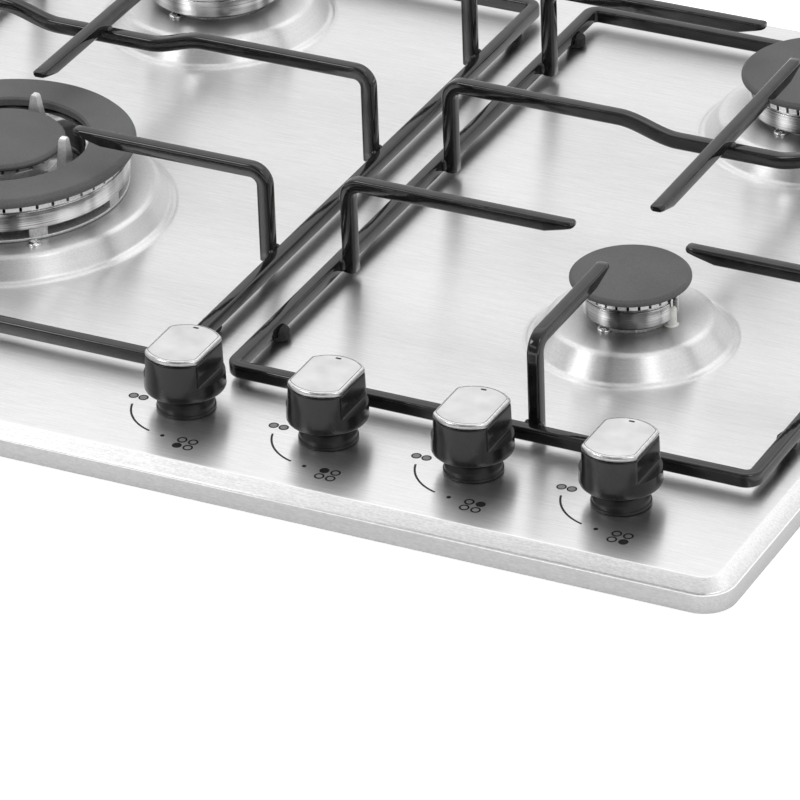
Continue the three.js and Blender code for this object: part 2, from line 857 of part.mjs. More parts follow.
// The cross bar: two legs, a level top and the dip that passes under the long finger.
function crossBar(length, dipCentre) {
  const outline = new THREE.Shape();
  const low = fingerTopZ - dipDepth;
  const lowUnder = low - barHeight;
  const inner = bendRadius - barHeight;
  const turn = fingerTopZ - bendRadius;
  const starts = [dipCentre - dipHalf - dipRun, dipCentre - dipHalf];
  const ends = [dipCentre + dipHalf, dipCentre + dipHalf + dipRun];
  const middle = (pair) => (pair[0] + pair[1]) / 2;
  startLeg(outline, railBottom);
  outline.lineTo(starts[0], fingerTopZ);
  outline.bezierCurveTo(middle(starts), fingerTopZ, middle(starts), low, starts[1], low);
  outline.lineTo(ends[0], low);
  outline.bezierCurveTo(middle(ends), low, middle(ends), fingerTopZ, ends[1], fingerTopZ);
  outline.lineTo(length - bendRadius, fingerTopZ);
  outline.absarc(length - bendRadius, turn, bendRadius, Math.PI / 2, 0, true);
  outline.lineTo(length, railBottom);
  outline.lineTo(length - barHeight, railBottom);
  outline.lineTo(length - barHeight, turn);
  outline.absarc(length - bendRadius, turn, inner, 0, Math.PI / 2, false);
  outline.lineTo(ends[1], fingerUnder);
  outline.bezierCurveTo(middle(ends), fingerUnder, middle(ends), lowUnder, ends[0], lowUnder);
  outline.lineTo(starts[1], lowUnder);
  outline.bezierCurveTo(middle(starts), lowUnder, middle(starts), fingerUnder, starts[0], fingerUnder);
  endLeg(outline, railBottom);
  return bentBar(outline);
}

// One welded pan support over a front and a rear burner of one side of the panel.
function makeGrate({ left, right, front, rear, burnerX, frontBurner, clearance, bridge, shift }) {
  const frame = roundedRectangle(right - left, rear - front, frameCorner);
  const inside = [right - left - 2 * barWidth, rear - front - 2 * barWidth];
  frame.holes.push(roundedRectangle(inside[0], inside[1], frameCorner - barWidth, THREE.Path));
  const ring = softPlate(frame, railBottom, railTop, barEdge, 2);
  const legInset = barWidth - weldSink;
  const leftLeg = left + legInset;
  const rightLeg = right - legInset;
  const frontLeg = front + legInset;
  const bars = [ring.translate([(left + right) / 2, (front + rear) / 2, 0])];
  const fromLeft = (tipX, y) => finger(tipX - leftLeg).translate([leftLeg, y, 0]);
  const fromRight = (tipX, y) => finger(rightLeg - tipX).rotate([0, 0, 180]).translate([rightLeg, y, 0]);
  bars.push(fromLeft(burnerX - clearance, frontFingerY + shift));
  bars.push(fromRight(burnerX + clearance, frontFingerY + shift));
  bars.push(fromLeft(burnerX - tipClear, rearFingerY + shift));
  bars.push(fromRight(burnerX + tipClear, rearFingerY + shift));
  bars.push(crossBar(rightLeg - leftLeg, burnerX - leftLeg).translate([leftLeg, crossBarY + shift, 0]));
  const frontTip = frontBurner - clearance;
  bars.push(finger(frontTip - frontLeg).rotate([0, 0, 90]).translate([burnerX, frontLeg, 0]));
  const rearTip = rearBurnerY + shift + tipClear;
  // The rear leg stands on top of the rear rail, because the burner's slope comes close to it.
  const rearFinger = finger(rear - rearTip, railTop - weldSink);
  bars.push(rearFinger.rotate([0, 0, -90]).translate([burnerX, rear, 0]));
  const bridgeStart = frontBurner + bridge;
  const bridgeEnd = rearBurnerY + shift - tipClear;
  bars.push(longFinger(bridgeEnd - bridgeStart).rotate([0, 0, 90]).translate([burnerX, bridgeStart, 0]));
  return union(bars);
}

const rightGrate = {
  left: rightBurnerX - grateInward,
  right: rightBurnerX + grateOutward,
  front: grateFront,
  rear: grateRear,
  burnerX: rightBurnerX,
  frontBurner: frontBurnerY,
  clearance: tipClear,
  bridge: tipClear,
  shift: 0,
};
const leftGrate = {
  left: leftBurnerX - grateOutward,
  right: leftBurnerX + grateInward,
  front: grateFront + leftGrateShift,
  rear: grateRear + leftGrateShift,
  burnerX: leftBurnerX,
  frontBurner: frontBurnerY,
  clearance: wokTipClear,
  bridge: wokBridgeClear,
  shift: leftGrateShift,
};

// A rubber peg under a side rail, with a cheek that reaches up the rail's inner side.
function makeGrateFoot(railX, y, inward) {
  const half = barWidth / 2 + seat;
  const bottom = fieldTop + seat;
  const top = railBottom + footGrip;
  const peg = turned([
    [0, bottom],
    [footRadius - capEdge, bottom],
    [footRadius, bottom + capEdge],
    [footRadius, top - 2 * capEdge],
    [footRadius - 2 * capEdge, top],
    [0, top],
  ], roundSmall).translate([railX + inward * footInset, y, 0]);
  const far = inward * (half + 2 * footRadius);
  const [x0, x1] = [railX + inward * half, railX - far].sort((a, b) => a - b);
  const rail = block(x0, x1, y - 2 * footRadius, y + 2 * footRadius, railBottom - seat, railTop);
  return peg.subtract(rail);
}

function addGrate(name, grate) {
  addPiece(name, makeGrate(grate), blackEnamel);
  const rows = { front: grate.front + footFrontInset, rear: grate.rear - footRearInset };
  const columns = {
    left: { x: grate.left + barWidth / 2, inward: 1 },
    right: { x: grate.right - barWidth / 2, inward: -1 },
  };
  for (const [row, y] of Object.entries(rows)) {
    for (const [column, { x, inward }] of Object.entries(columns)) {
      addPiece(`${name}_foot_${row}_${column}`, makeGrateFoot(x, y, inward), rubber);
    }
  }
}

// ---------------------------------------------------------------- knobs and valves

const skirtBottom = fieldTop + knobLift;
const knobBodyTop = fieldTop + knobTop;

// The outline of a knob's upper part: front and rear arcs joined by two flats.
function flattedCircle(radius, half) {
  const outline = new THREE.Shape();
  const turn = Math.acos(half / radius);
  outline.absarc(0, 0, radius, turn, Math.PI - turn, false);
  outline.absarc(0, 0, radius, Math.PI + turn, 2 * Math.PI - turn, false);
  outline.closePath();
  return outline;
}

function makeKnob(x) {
  const ledge = fieldTop + knobLedge;
  const roof = knobBodyTop - knobRoof;
  const shell = turned([
    [0, skirtBottom],
    [knobRadius - capEdge, skirtBottom],
    [knobRadius, skirtBottom + capEdge],
    [knobRadius, ledge],
    [knobTopRadius, knobBodyTop],
    [0, knobBodyTop],
  ], roundMedium);
  const side = 2 * knobRadius;
  const rightFlat = block(knobFlat, side, -side, side, ledge, knobBodyTop + overrun);
  const leftFlat = block(-side, -knobFlat, -side, side, ledge, knobBodyTop + overrun);
  const innerRadius = knobRadius - knobWall;
  const lowRoom = post(innerRadius, skirtBottom - overrun, ledge - knobWall, roundMedium);
  const highRoom = plate(flattedCircle(innerRadius, knobFlat - knobWall), skirtBottom, roof, 3);
  const boss = post(knobBossRadius, skirtBottom + knobBossLift, roof + knobRoof / 2, roundSmall);
  const flat = spindleFlat + seat;
  const boreTop = fieldTop + spindleInKnob + seat;
  const bore = post(spindleRadius + seat, skirtBottom, boreTop, roundSmall);
  const key = block(-side, side, -side, -flat, boreTop - spindleFlatLength + knobTravel, boreTop + overrun);
  const knob = shell.subtract(rightFlat).subtract(leftFlat).subtract(lowRoom).subtract(highRoom);
  return knob.add(boss).subtract(bore.subtract(key)).translate([x, knobY, 0]);
}

function makeKnobPlate(x) {
  const outline = flattedCircle(knobTopRadius - plateInset, knobFlat - plateInset);
  const bottom = knobBodyTop + seat;
  const shape = softPlate(outline, bottom - plateEdge, bottom + plateThickness, plateEdge, 5);
  const under = block(-knobRadius, knobRadius, -knobRadius, knobRadius, bottom - 2 * plateEdge, bottom);
  return shape.subtract(under).translate([x, knobY, 0]);
}

function makeKnobCollar(x) {
  const bottom = fieldTop + seat;
  const top = fieldTop + collarHeight;
  const flangeTop = bottom + collarFlangeHeight;
  const inside = collarTopRadius - collarWall;
  return turned([
    [inside, bottom],
    [collarFlangeRadius, bottom],
    [collarFlangeRadius, flangeTop],
    [collarRadius, flangeTop],
    [collarRadius, fieldTop + collarShoulder],
    [collarTopRadius, top - collarWall / 2],
    [collarTopRadius - collarWall / 2, top],
    [collarBore, top],
    [collarBore, top - collarWall],
    [inside, top - collarWall],
  ], roundMedium).translate([x, knobY, 0]);
}

function makeSpindle(x) {
  const top = fieldTop + spindleInKnob;
  const bar = post(spindleRadius, spindleBottom, top, roundSmall / 2);
  const flat = block(
    -spindleRadius - overrun,
    spindleRadius + overrun,
    -spindleRadius - overrun,
    -spindleFlat,
    top - spindleFlatLength,
    top + overrun,
  );
  return bar.subtract(flat).translate([x, knobY, 0]);
}

function makeValvePlug(x) {
  return turned([
    [0, plugBottom],
    [plugBottomRadius, plugBottom],
    [plugTopRadius, plugTop],
    [spindleRadius + seat, plugTop],
    [spindleRadius + seat, plugTop - plugSocketDepth],
    [0, plugTop - plugSocketDepth],
  ], roundSmall / 2).translate([x, knobY, 0]);
}

function makeValve(x) {
  const floor = plugBottom - seat;
  const roof = plugTop + seat;
  const bore = spindleRadius + seat;
  const body = turned([
    [0, valveBottom],
    [valveRadius, valveBottom],
    [valveRadius, valveShoulder],
    [bonnetRadius, valveShoulder],
    [bonnetRadius, bonnetTop],
    [bore, bonnetTop],
    [bore, roof],
    [plugTopRadius + plugGap, roof],
    [plugBottomRadius + plugGap, floor],
    [0, floor],
  ], roundSmall);
  const outlet = barAlongY(outletRadius, valveRadius - overrun, outletReach, outletHeight, roundSmall / 2);
  const half = valveArmWidth / 2;
  const armTop = railPipeHeight + valveArmHeight / 2;
  const arm = block(-half, half, valveRadius - overrun, railPipeOffset, armTop - valveArmHeight, armTop);
  const rail = barAlongX(railPipeRadius + seat, -valveRadius, valveRadius, railPipeHeight, roundSmall);
  const valve = body.add(outlet).add(arm).subtract(rail.translate([0, railPipeOffset, 0]));
  return valve.translate([x, knobY, 0]);
}

// ---------------------------------------------------------------- gas rail, pipes, igniter

function makeManifold() {
  const railY = knobY + railPipeOffset;
  const rail = barAlongX(railPipeRadius, railPipeLeft, railPipeRight, railPipeHeight, roundSmall);
  const elbow = new THREE.SphereGeometry(railPipeRadius + sheet, roundSmall, roundSmall / 2);
  elbow.translate(railPipeRight, railY, railPipeHeight);
  const inletStart = inletReach - inletLength;
  const run = barAlongY(railPipeRadius, railY, inletStart + overrun, railPipeHeight, roundSmall);
  const thread = barAlongY(inletRadius, inletStart, inletReach, railPipeHeight, roundSmall);
  const nutEnd = inletStart + overrun;
  const nut = barAlongY(inletNutRadius, nutEnd - inletNutLength, nutEnd, railPipeHeight, 6);
  const inlet = union([run, thread, nut]).translate([railPipeRight, 0, 0]);
  return union([rail.translate([0, railY, 0]), solid(elbow), inlet]);
}

// A bent pipe through the given points, at the height of the valve outlets.
function makePipe(points) {
  const path = new THREE.CatmullRomCurve3(
    points.map(([x, y]) => new THREE.Vector3(x, y, outletHeight)),
    false,
    'centripetal',
  );
  const section = new THREE.Shape();
  for (let i = 0; i < pipeSides; i += 1) {
    const angle = (2 * Math.PI * i) / pipeSides;
    const corner = [pipeRadius * Math.cos(angle), pipeRadius * Math.sin(angle)];
    if (i === 0) section.moveTo(...corner);
    else section.lineTo(...corner);
  }
  section.closePath();
  return solid(new THREE.ExtrudeGeometry(section, { steps: pipeSteps, extrudePath: path }));
}

// Where each pipe meets its valve and its cup, with the bends between.
function pipeRoute(index) {
  const { x, y, side, kind } = burners[index];
  const startX = knobX(index);
  const startY = knobY + outletReach + seat;
  const reach = kind.hole - seat + cupBossLength + seat;
  const endX = x + side * reach;
  const lead = 4 * pipeRadius;
  const bend = 8 * pipeRadius;
  const laneX = index === 2 ? startX - bend : startX;
  const start = [[startX, startY], [startX, startY + lead]];
  const end = [[endX + side * lead, y], [endX, y]];
  const rise = [[laneX, startY + lead + bend], [laneX, (startY + y) / 2], [laneX, y - bend]];
  return [...start, ...rise, ...end];
}

function makeIgniter() {
  const bottom = boxSheet + seat;
  const outline = roundedRectangle(igniterLength, igniterDepth, igniterEdge * 2);
  const body = softPlate(outline, bottom, bottom + igniterHeight, igniterEdge, 1);
  const terminals = [];
  for (let i = 0; i < burners.length; i += 1) {
    const offset = (i - (burners.length - 1) / 2) * terminalPitch;
    const reach = igniterDepth / 2 + terminalLength;
    const terminal = barAlongY(terminalRadius, 0, reach, bottom + igniterHeight / 2, roundSmall / 2);
    terminals.push(terminal.translate([offset, 0, 0]));
  }
  return union([body, ...terminals]).translate([igniterX, igniterY, 0]);
}

// ---------------------------------------------------------------- every piece

addPiece('top_panel', makeTopPanel(), brushedSteel);
addPiece('under_box', makeUnderBox(), galvanised);
addPiece('worktop_seal', makeWorktopSeal(), foam);

burners.forEach((burner, index) => {
  const { name, kind } = burner;
  const triple = kind === wokBurner;
  const x = knobX(index);
  addPiece(`burner_cup_${name}`, makeBurnerCup(burner), castAluminium);
  addPiece(`burner_crown_${name}`, triple ? makeWokCrown(burner) : makeCrown(burner), castAluminium);
  addPiece(`burner_cap_${name}`, triple ? makeRingCap(burner) : makeCap(burner), capEnamel);
  addPiece(`electrode_${name}`, makeElectrode(burner), ceramic);
  addPiece(`knob_${name}`, makeKnob(x), blackPlastic);
  addPiece(`knob_plate_${name}`, makeKnobPlate(x), satinMetal);
  addPiece(`knob_collar_${name}`, makeKnobCollar(x), blackPlastic);
  addPiece(`spindle_${name}`, makeSpindle(x), galvanised);
  addPiece(`valve_plug_${name}`, makeValvePlug(x), brass);
  addPiece(`valve_${name}`, makeValve(x), brass);
  addPiece(`gas_pipe_${name}`, makePipe(pipeRoute(index)), castAluminium);
});
addPiece('inner_cap_front_left', makeInnerCap(burners[0]), capEnamel);

addGrate('left_grate', leftGrate);
addGrate('right_grate', rightGrate);

addPiece('gas_manifold', makeManifold(), galvanised);
addPiece('igniter_module', makeIgniter(), plasticCase);

export default cooktop;
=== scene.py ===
"""Looks of a built-in gas cooktop: brushed panel, ring burners, wire pan supports and knobs."""

import math

import bmesh
import bpy
from mathutils import Matrix, Vector
from mathutils.geometry import tessellate_polygon


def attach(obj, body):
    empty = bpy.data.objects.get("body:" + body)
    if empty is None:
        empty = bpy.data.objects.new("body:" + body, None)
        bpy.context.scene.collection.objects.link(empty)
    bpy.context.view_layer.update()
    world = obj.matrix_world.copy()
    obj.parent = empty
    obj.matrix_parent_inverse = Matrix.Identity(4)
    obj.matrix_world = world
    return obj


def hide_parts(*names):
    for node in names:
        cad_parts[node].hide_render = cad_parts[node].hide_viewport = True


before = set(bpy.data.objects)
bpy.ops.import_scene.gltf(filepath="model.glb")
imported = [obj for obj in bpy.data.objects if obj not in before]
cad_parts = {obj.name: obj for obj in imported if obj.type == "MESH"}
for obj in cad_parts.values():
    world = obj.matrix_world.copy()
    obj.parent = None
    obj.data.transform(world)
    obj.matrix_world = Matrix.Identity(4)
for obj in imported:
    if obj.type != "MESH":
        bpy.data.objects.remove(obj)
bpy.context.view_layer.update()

MM = 0.001

# ---------------- sizes, in millimetres

BOX_DEPTH = 42.0
EDGE_HEIGHT = 9.6
FIELD = 55.6
PLATEAU = 67.6
SHEET = 1.2
PANEL = (580.0, 510.0)
PANEL_CORNER = 15.0

LEFT_X, RIGHT_X = -164.8, 162.0
FRONT_Y, REAR_Y = -67.0, 151.5

SMALL = dict(base=48.8, run=10.7, hole=18.5, crown=22.3, cap=28.0, slots=26)
MEDIUM = dict(base=58.8, run=10.7, hole=28.5, crown=33.5, cap=37.5, slots=38)
WOK = dict(base=81.2, run=8.2, hole=44.0, crown=60.6, cap=64.0, slots=48)
BURNERS = {
    "front_left": (LEFT_X, FRONT_Y, WOK),
    "rear_left": (LEFT_X, REAR_Y, MEDIUM),
    "rear_right": (RIGHT_X, REAR_Y, MEDIUM),
    "front_right": (RIGHT_X, FRONT_Y, SMALL),
}
SPARKS = {name: math.radians(184 if x < 0 else -4) for name, (x, _, _) in BURNERS.items()}
KNOBS = {"front_left": 3.8, "rear_left": 75.45, "rear_right": 147.1, "front_right": 218.75}
KNOB_Y = -202.5
MARKS = {
    "front_left": (6.3, -202.9),
    "rear_left": (77.0, -202.2),
    "rear_right": (147.7, -201.5),
    "front_right": (218.3, -200.8),
}
KNOB_HOLE = 8
KNOB_STEPS = 160  # points round a knob

REST = 0.3  # gap between pieces that rest on each other
CROWN_LIFT = 3.3  # foot of the small and medium crowns, above the plateau
BAND = 9.3  # height of a crown's turned band
PORTS = 5.2  # height of the slotted ring on it
RING_IN, RING_OUT = 4.4, 0.7  # the slotted ring's faces, in from the band's radius

RAIL_LOW, RAIL_TOP = 58.9, 65.9
FINGER_TOP = 109.3
BAR_W, BAR_H = 6.2, 7.0
BAR_MID = FINGER_TOP - BAR_H / 2
TAPER = 14  # length of a finger's thinned tip
TIP_FACE = 3.3  # height of the bar that is left at the tip
FINGER_GAP = 28.2  # from the centre of a small or medium burner to the tips
SIDE_Y = -66.2  # the two fingers beside the front burner
CROSS_Y = 41.6  # the bar that crosses between the burners
CROSS_DIP = 6.6  # its dip below the long finger

INK_TOP, INK_DEPTH = FIELD + 0.05, 0.05
GROUP = (12.8, -30.1)  # centre of a mark's four circles, from the mark's own centre
GROUP_STEP = (2.75, 2.6)
FLAMES_X, FLAMES_Y = (-28.9, -23.9), -0.6
ARC_RADIUS = 27.0


# ---------------- shapes


def fillet(points, radii, steps=5):
    """An open outline with its inner corners rounded by the given radii."""
    out = [points[0]]
    for before, corner, after, radius in zip(points, points[1:], points[2:], radii[1:]):
        c = Vector(corner)
        u, v = Vector(before) - c, Vector(after) - c
        if radius <= 0 or u.length < 1e-6 or v.length < 1e-6:
            out.append(tuple(corner))
            continue
        reach_u, reach_v = u.length, v.length
        u.normalize()
        v.normalize()
        half = u.angle(v) / 2
        reach = min(radius / math.tan(half), 0.49 * reach_u, 0.49 * reach_v)
        radius = reach * math.tan(half)
        centre = c + (u + v).normalized() * (radius / math.sin(half))
        a, b = c + u * reach - centre, c + v * reach - centre
        turn = a.angle(b)
        for i in range(steps + 1):
            t = i / steps
            if turn < 1e-5:
                arm = a.lerp(b, t)
            else:
                arm = (a * math.sin((1 - t) * turn) + b * math.sin(t * turn)) / math.sin(turn)
            out.append(tuple(centre + arm))
    out.append(points[-1])
    return out


def wrap(angle):
    """The same angle between half a turn back and half a turn on."""
    return (angle + math.pi) % (2 * math.pi) - math.pi


def turn_angles(count):
    return [2 * math.pi * i / count for i in range(count)]


def circle(x, y, radius, z, count):
    return [(x + radius * math.cos(a), y + radius * math.sin(a), z) for a in turn_angles(count)]


class Shape:
    """Collects closed or open surfaces in millimetres and makes one mesh of them."""

    def __init__(self):
        self.verts = []
        self.faces = []

    def add(self, verts, faces, place=(0, 0, 0), turn=0.0):
        base = len(self.verts)
        c, s = math.cos(turn), math.sin(turn)
        for x, y, z in verts:
            self.verts.append((x * c - y * s + place[0], x * s + y * c + place[1], z + place[2]))
        for face in faces:
            self.faces.append(tuple(base + i for i in face))

    def rings(self, rows, place=(0, 0, 0), turn=0.0, cap_start=False, cap_end=False, close=False):
        """Skins rows of points, each a closed loop of the same length."""
        count = len(rows[0])
        verts = [p for row in rows for p in row]
        faces = []
        for j in range(len(rows) if close else len(rows) - 1):
            k = (j + 1) % len(rows)
            for i in range(count):
                n = (i + 1) % count
                faces.append((j * count + i, j * count + n, k * count + n, k * count + i))
        if cap_start:
            faces.append(tuple(reversed(range(count))))
        if cap_end:
            last = (len(rows) - 1) * count
            faces.append(tuple(last + i for i in range(count)))
        self.add(verts, faces, place, turn)

    def lathe(self, outline, segments=128, place=(0, 0, 0), close=False, cut=None):
        """Revolves an outline of (radius, height).

        cut=(angle, reach, half width) makes a flat-bottomed notch.
        """
        angles = turn_angles(segments)
        if cut:
            mid, reach, half = cut
            hair, beside = 1e-4, 1.2
            for r in sorted({round(p[0], 2) for p in outline if p[0] > reach}):
                side = math.asin(min(1, half / r))
                for edge in (mid - side, mid + side):
                    angles += [edge - hair, edge + hair]
            angles = sorted(set(round(a % (2 * math.pi), 6) for a in angles))
        rows = []
        for r, z in outline:
            row = []
            for a in angles:
                q = max(r, 0.001)
                if cut:
                    off = wrap(a - mid)
                    facing = abs(off) < beside and abs(q * math.sin(off)) < half
                    if facing and q * math.cos(off) > reach:
                        q = reach / math.cos(off)
                row.append((q * math.cos(a), q * math.sin(a), z))
            rows.append(row)
        self.rings(
            rows,
            place,
            cap_start=not close and outline[0][0] <= 0.001,
            cap_end=not close and outline[-1][0] <= 0.001,
            close=close,
        )

    def sector(self, r0, r1, z0, z1, a0, a1, steps=3, place=(0, 0, 0)):
        """A closed block that follows an arc."""
        rows = []
        for i in range(steps + 1):
            a = a0 + (a1 - a0) * i / steps
            c, s = math.cos(a), math.sin(a)
            corners = ((r0, z0), (r1, z0), (r1, z1), (r0, z1))
            rows.append([(r * c, r * s, z) for r, z in corners])
        self.rings(rows, place, cap_start=True, cap_end=True)

    def blob(self, place, radii):
        """A squashed round bead of weld or enamel."""
        rings, segments = 8, 14
        rows = []
        for i in range(rings + 1):
            t = -math.pi / 2 + math.pi * i / rings
            r, z = math.cos(t), math.sin(t)
            row = []
            for a in turn_angles(segments):
                row.append((radii[0] * r * math.cos(a), radii[1] * r * math.sin(a), radii[2] * z))
            rows.append(row)
        self.rings(rows, place)

    def make(self, name, material, body, nodes, sharp=35):
        """Makes the mesh a piece that rides on a body and stands for the nodes."""
        mesh = bpy.data.meshes.new(name)
        mesh.from_pydata([(x * MM, y * MM, z * MM) for x, y, z in self.verts], [], self.faces)
        mesh.materials.append(material)
        mesh.validate()
        mesh.update()
        tidy(mesh, sharp)
        piece = bpy.data.objects.new(name, mesh)
        bpy.context.scene.collection.objects.link(piece)
        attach(piece, body)
        if nodes:
            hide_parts(*nodes)
        return piece


def tidy(mesh, sharp):
    """Merges doubled points, faces every closed surface outwards and marks the hard edges."""
    bm = bmesh.new()
    bm.from_mesh(mesh)
    bmesh.ops.remove_doubles(bm, verts=bm.verts, dist=0.000002)
    bmesh.ops.dissolve_degenerate(bm, dist=0.000001, edges=bm.edges)
    bmesh.ops.recalc_face_normals(bm, faces=bm.faces)
    bm.to_mesh(mesh)
    bm.free()
    mesh.polygons.foreach_set("use_smooth", [True] * len(mesh.polygons))
    mesh.set_sharp_from_angle(angle=math.radians(sharp))
    mesh.update()


# ---------------- node helpers


class Nodes:
    """A short way to write a material's nodes."""

    def __init__(self, name):
        self.material = bpy.data.materials.new(name)
        self.material.use_nodes = True
        self.tree = self.material.node_tree
        self.tree.nodes.clear()
        self.out = self.tree.nodes.new("ShaderNodeOutputMaterial")
        self.shader = self.tree.nodes.new("ShaderNodeBsdfPrincipled")
        self.tree.links.new(self.shader.outputs[0], self.out.inputs["Surface"])
        self.coord = self.tree.nodes.new("ShaderNodeTexCoord").outputs["Object"]

    def link(self, a, b):
        self.tree.links.new(a, b)

    def put(self, socket, value):
        if isinstance(value, bpy.types.NodeSocket):
            self.link(value, socket)
        elif value is not None:
            socket.default_value = value

    def set(self, **values):
        for key, value in values.items():
            label = key.replace("_", " ").title().replace("Ior", "IOR")
            self.put(self.shader.inputs[label], value)

    def math(self, operation, a, b=None):
        node = self.tree.nodes.new("ShaderNodeMath")
        node.operation = operation
        for socket, value in zip(node.inputs, (a, b)):
            self.put(socket, value)
        return node.outputs[0]

    def vec(self, operation, a, b=None, scale=None):
        node = self.tree.nodes.new("ShaderNodeVectorMath")
        node.operation = operation
        self.put(node.inputs[0], a)
        self.put(node.inputs[1], b)
        if scale is not None:
            self.put(node.inputs["Scale"], scale)
        return node.outputs["Value" if operation == "LENGTH" else "Vector"]

    def fold(self, join, operation, values):
        """Joins a list of sockets, two at a time."""
        total = values[0]
        for value in values[1:]:
            total = join(operation, total, value)
        return total

    def mapping(self, scale):
        node = self.tree.nodes.new("ShaderNodeMapping")
        self.link(self.coord, node.inputs["Vector"])
        node.inputs["Scale"].default_value = scale
        return node.outputs[0]

    def noise(self, vector, detail=2.0, roughness=0.5):
        node = self.tree.nodes.new("ShaderNodeTexNoise")
        self.put(node.inputs["Vector"], vector)
        node.inputs["Scale"].default_value = 1.0
        node.inputs["Detail"].default_value = detail
        node.inputs["Roughness"].default_value = roughness
        return node.outputs[0]

    def voronoi(self, vector):
        node = self.tree.nodes.new("ShaderNodeTexVoronoi")
        self.put(node.inputs["Vector"], vector)
        node.inputs["Scale"].default_value = 1.0
        return node

    def ramp(self, value, low, high, start=0.3, end=0.7):
        """Maps a value onto a grey or coloured range."""
        node = self.tree.nodes.new("ShaderNodeValToRGB")
        for stop, position, colour in zip(node.color_ramp.elements, (start, end), (low, high)):
            stop.position = position
            stop.color = colour if isinstance(colour, tuple) else (colour, colour, colour, 1)
        self.put(node.inputs[0], value)
        return node.outputs[0]

    def span(self, value, low, high, start=0.0, end=1.0):
        """Maps start..end onto low..high, and holds it there beyond."""
        node = self.tree.nodes.new("ShaderNodeMapRange")
        self.put(node.inputs["Value"], value)
        set_range(node, low, high, start, end)
        return node.outputs[0]

    def bump(self, height, strength, distance=0.0001):
        node = self.tree.nodes.new("ShaderNodeBump")
        node.inputs["Strength"].default_value = strength
        node.inputs["Distance"].default_value = distance
        self.put(node.inputs["Height"], height)
        self.link(node.outputs[0], self.shader.inputs["Normal"])


def set_range(node, low, high, start, end):
    for key, value in (("From Min", start), ("From Max", end), ("To Min", low), ("To Max", high)):
        node.inputs[key].default_value = value


def combine(nodes, x, y, z):
    node = nodes.tree.nodes.new("ShaderNodeCombineXYZ")
    for socket, value in zip(node.inputs, (x, y, z)):
        nodes.put(socket, value)
    return node.outputs[0]


def panel_steel():
    """Brushed along the width, and round each raised burner plateau."""
    n = Nodes("brushed_panel")
    split = n.tree.nodes.new("ShaderNodeSeparateXYZ")
    n.link(n.coord, split.inputs[0])
    flat = combine(n, split.outputs[0], split.outputs[1], 0.0)
    radius, cover, away, shade = [], [], [], []
    for x, y, kind in BURNERS.values():
        arm = n.vec("SUBTRACT", flat, (x * MM, y * MM, 0))
        length = n.vec("LENGTH", arm)
        inside = n.math("LESS_THAN", length, (kind["base"] + 1.2) * MM)
        # Painted reflection: the plateau is painted darker towards its crown, as the reflection of
        # the dark crown, fading in from its ledge inwards.
        ledge = kind["base"] - kind["run"] - 1.0
        shade.append(n.span(length, 0.42, 1.0, (ledge - 15) * MM, ledge * MM))
        radius.append(n.math("MULTIPLY", inside, length))
        away.append(n.vec("SCALE", arm, scale=inside))
        cover.append(inside)
    radius, cover = n.fold(n.math, "ADD", radius), n.fold(n.math, "ADD", cover)
    away, shade = n.fold(n.vec, "ADD", away), n.fold(n.math, "MULTIPLY", shade)
    field = n.math("SUBTRACT", 1.0, cover)
    across = combine(n, 0.0, field, 0.0)
    tangent = n.vec("NORMALIZE", n.vec("ADD", away, across))
    n.link(tangent, n.shader.inputs["Tangent"])
    # Fine lines: long in the brushing direction, hair thin across it.
    straight = n.noise(n.mapping((60, 3000, 3000)), 3.0, 0.6)
    outwards = n.math("MULTIPLY", radius, 2400)
    upwards = n.math("MULTIPLY", split.outputs[2], 1200)
    ring = n.noise(combine(n, outwards, 0.0, upwards))
    ring = n.math("ADD", n.math("MULTIPLY", ring, 0.45), 0.27)
    lines = n.math("ADD", n.math("MULTIPLY", straight, field), n.math("MULTIPLY", ring, cover))
    long = n.noise(n.mapping((14, 700, 700)), 3.0, 0.6)
    cloud = n.noise(n.mapping((9, 9, 9)))
    tone = n.math("ADD", n.math("MULTIPLY", lines, 0.85), n.math("MULTIPLY", long, 0.15))
    # The folded and sloped edge shows a coarser grain than the field.
    edge = n.math("LESS_THAN", split.outputs[2], (FIELD - 0.25) * MM)
    grain = n.noise(n.mapping((500, 1300, 1300)), 3.0, 0.7)
    coarse = n.math("ADD", n.span(edge, 0.28, 1.25), n.math("MULTIPLY", cover, 0.35))
    speckle = n.math("MULTIPLY", n.math("SUBTRACT", grain, 0.5), coarse)
    tone = n.math("ADD", tone, speckle)
    # Painted shade: the upright flange below the fold is painted half as bright, as the shade of
    # the darker surroundings it faces.
    flange_shade = n.math("LESS_THAN", split.outputs[2], (BOX_DEPTH + EDGE_HEIGHT - 1.0) * MM)
    shade = n.math("MULTIPLY", shade, n.span(flange_shade, 1.0, 0.5))
    # The colour runs to near black where shade is low: the painted reflection on each plateau and
    # the painted shade on the flange.
    colour = n.tree.nodes.new("ShaderNodeMix")
    colour.data_type = "RGBA"
    n.put(colour.inputs["Factor"], shade)
    n.put(colour.inputs["A"], (0.08, 0.08, 0.08, 1))
    n.link(n.ramp(tone, 0.67, 0.86, 0.28, 0.72), colour.inputs["B"])
    n.set(base_color=colour.outputs["Result"], metallic=1.0, anisotropic=0.86)
    rough = n.math("ADD", n.span(tone, 0.27, 0.33), n.span(cloud, -0.02, 0.02))
    rough = n.math("ADD", rough, n.math("MULTIPLY", cover, 0.10))
    n.set(roughness=rough)
    n.bump(tone, 0.10, 0.00004)
    return n.material


def cast_aluminium(name="cast_aluminium", low=0.50, high=0.74, rough=0.45):
    n = Nodes(name)
    grain = n.noise(n.mapping((900, 900, 900)), 3.0, 0.65)
    cloud = n.noise(n.mapping((60, 60, 60)))
    n.set(base_color=n.ramp(grain, low, high), metallic=0.9)
    n.set(roughness=n.span(cloud, rough - 0.06, rough + 0.08))
    n.bump(grain, 0.35, 0.00008)
    return n.material


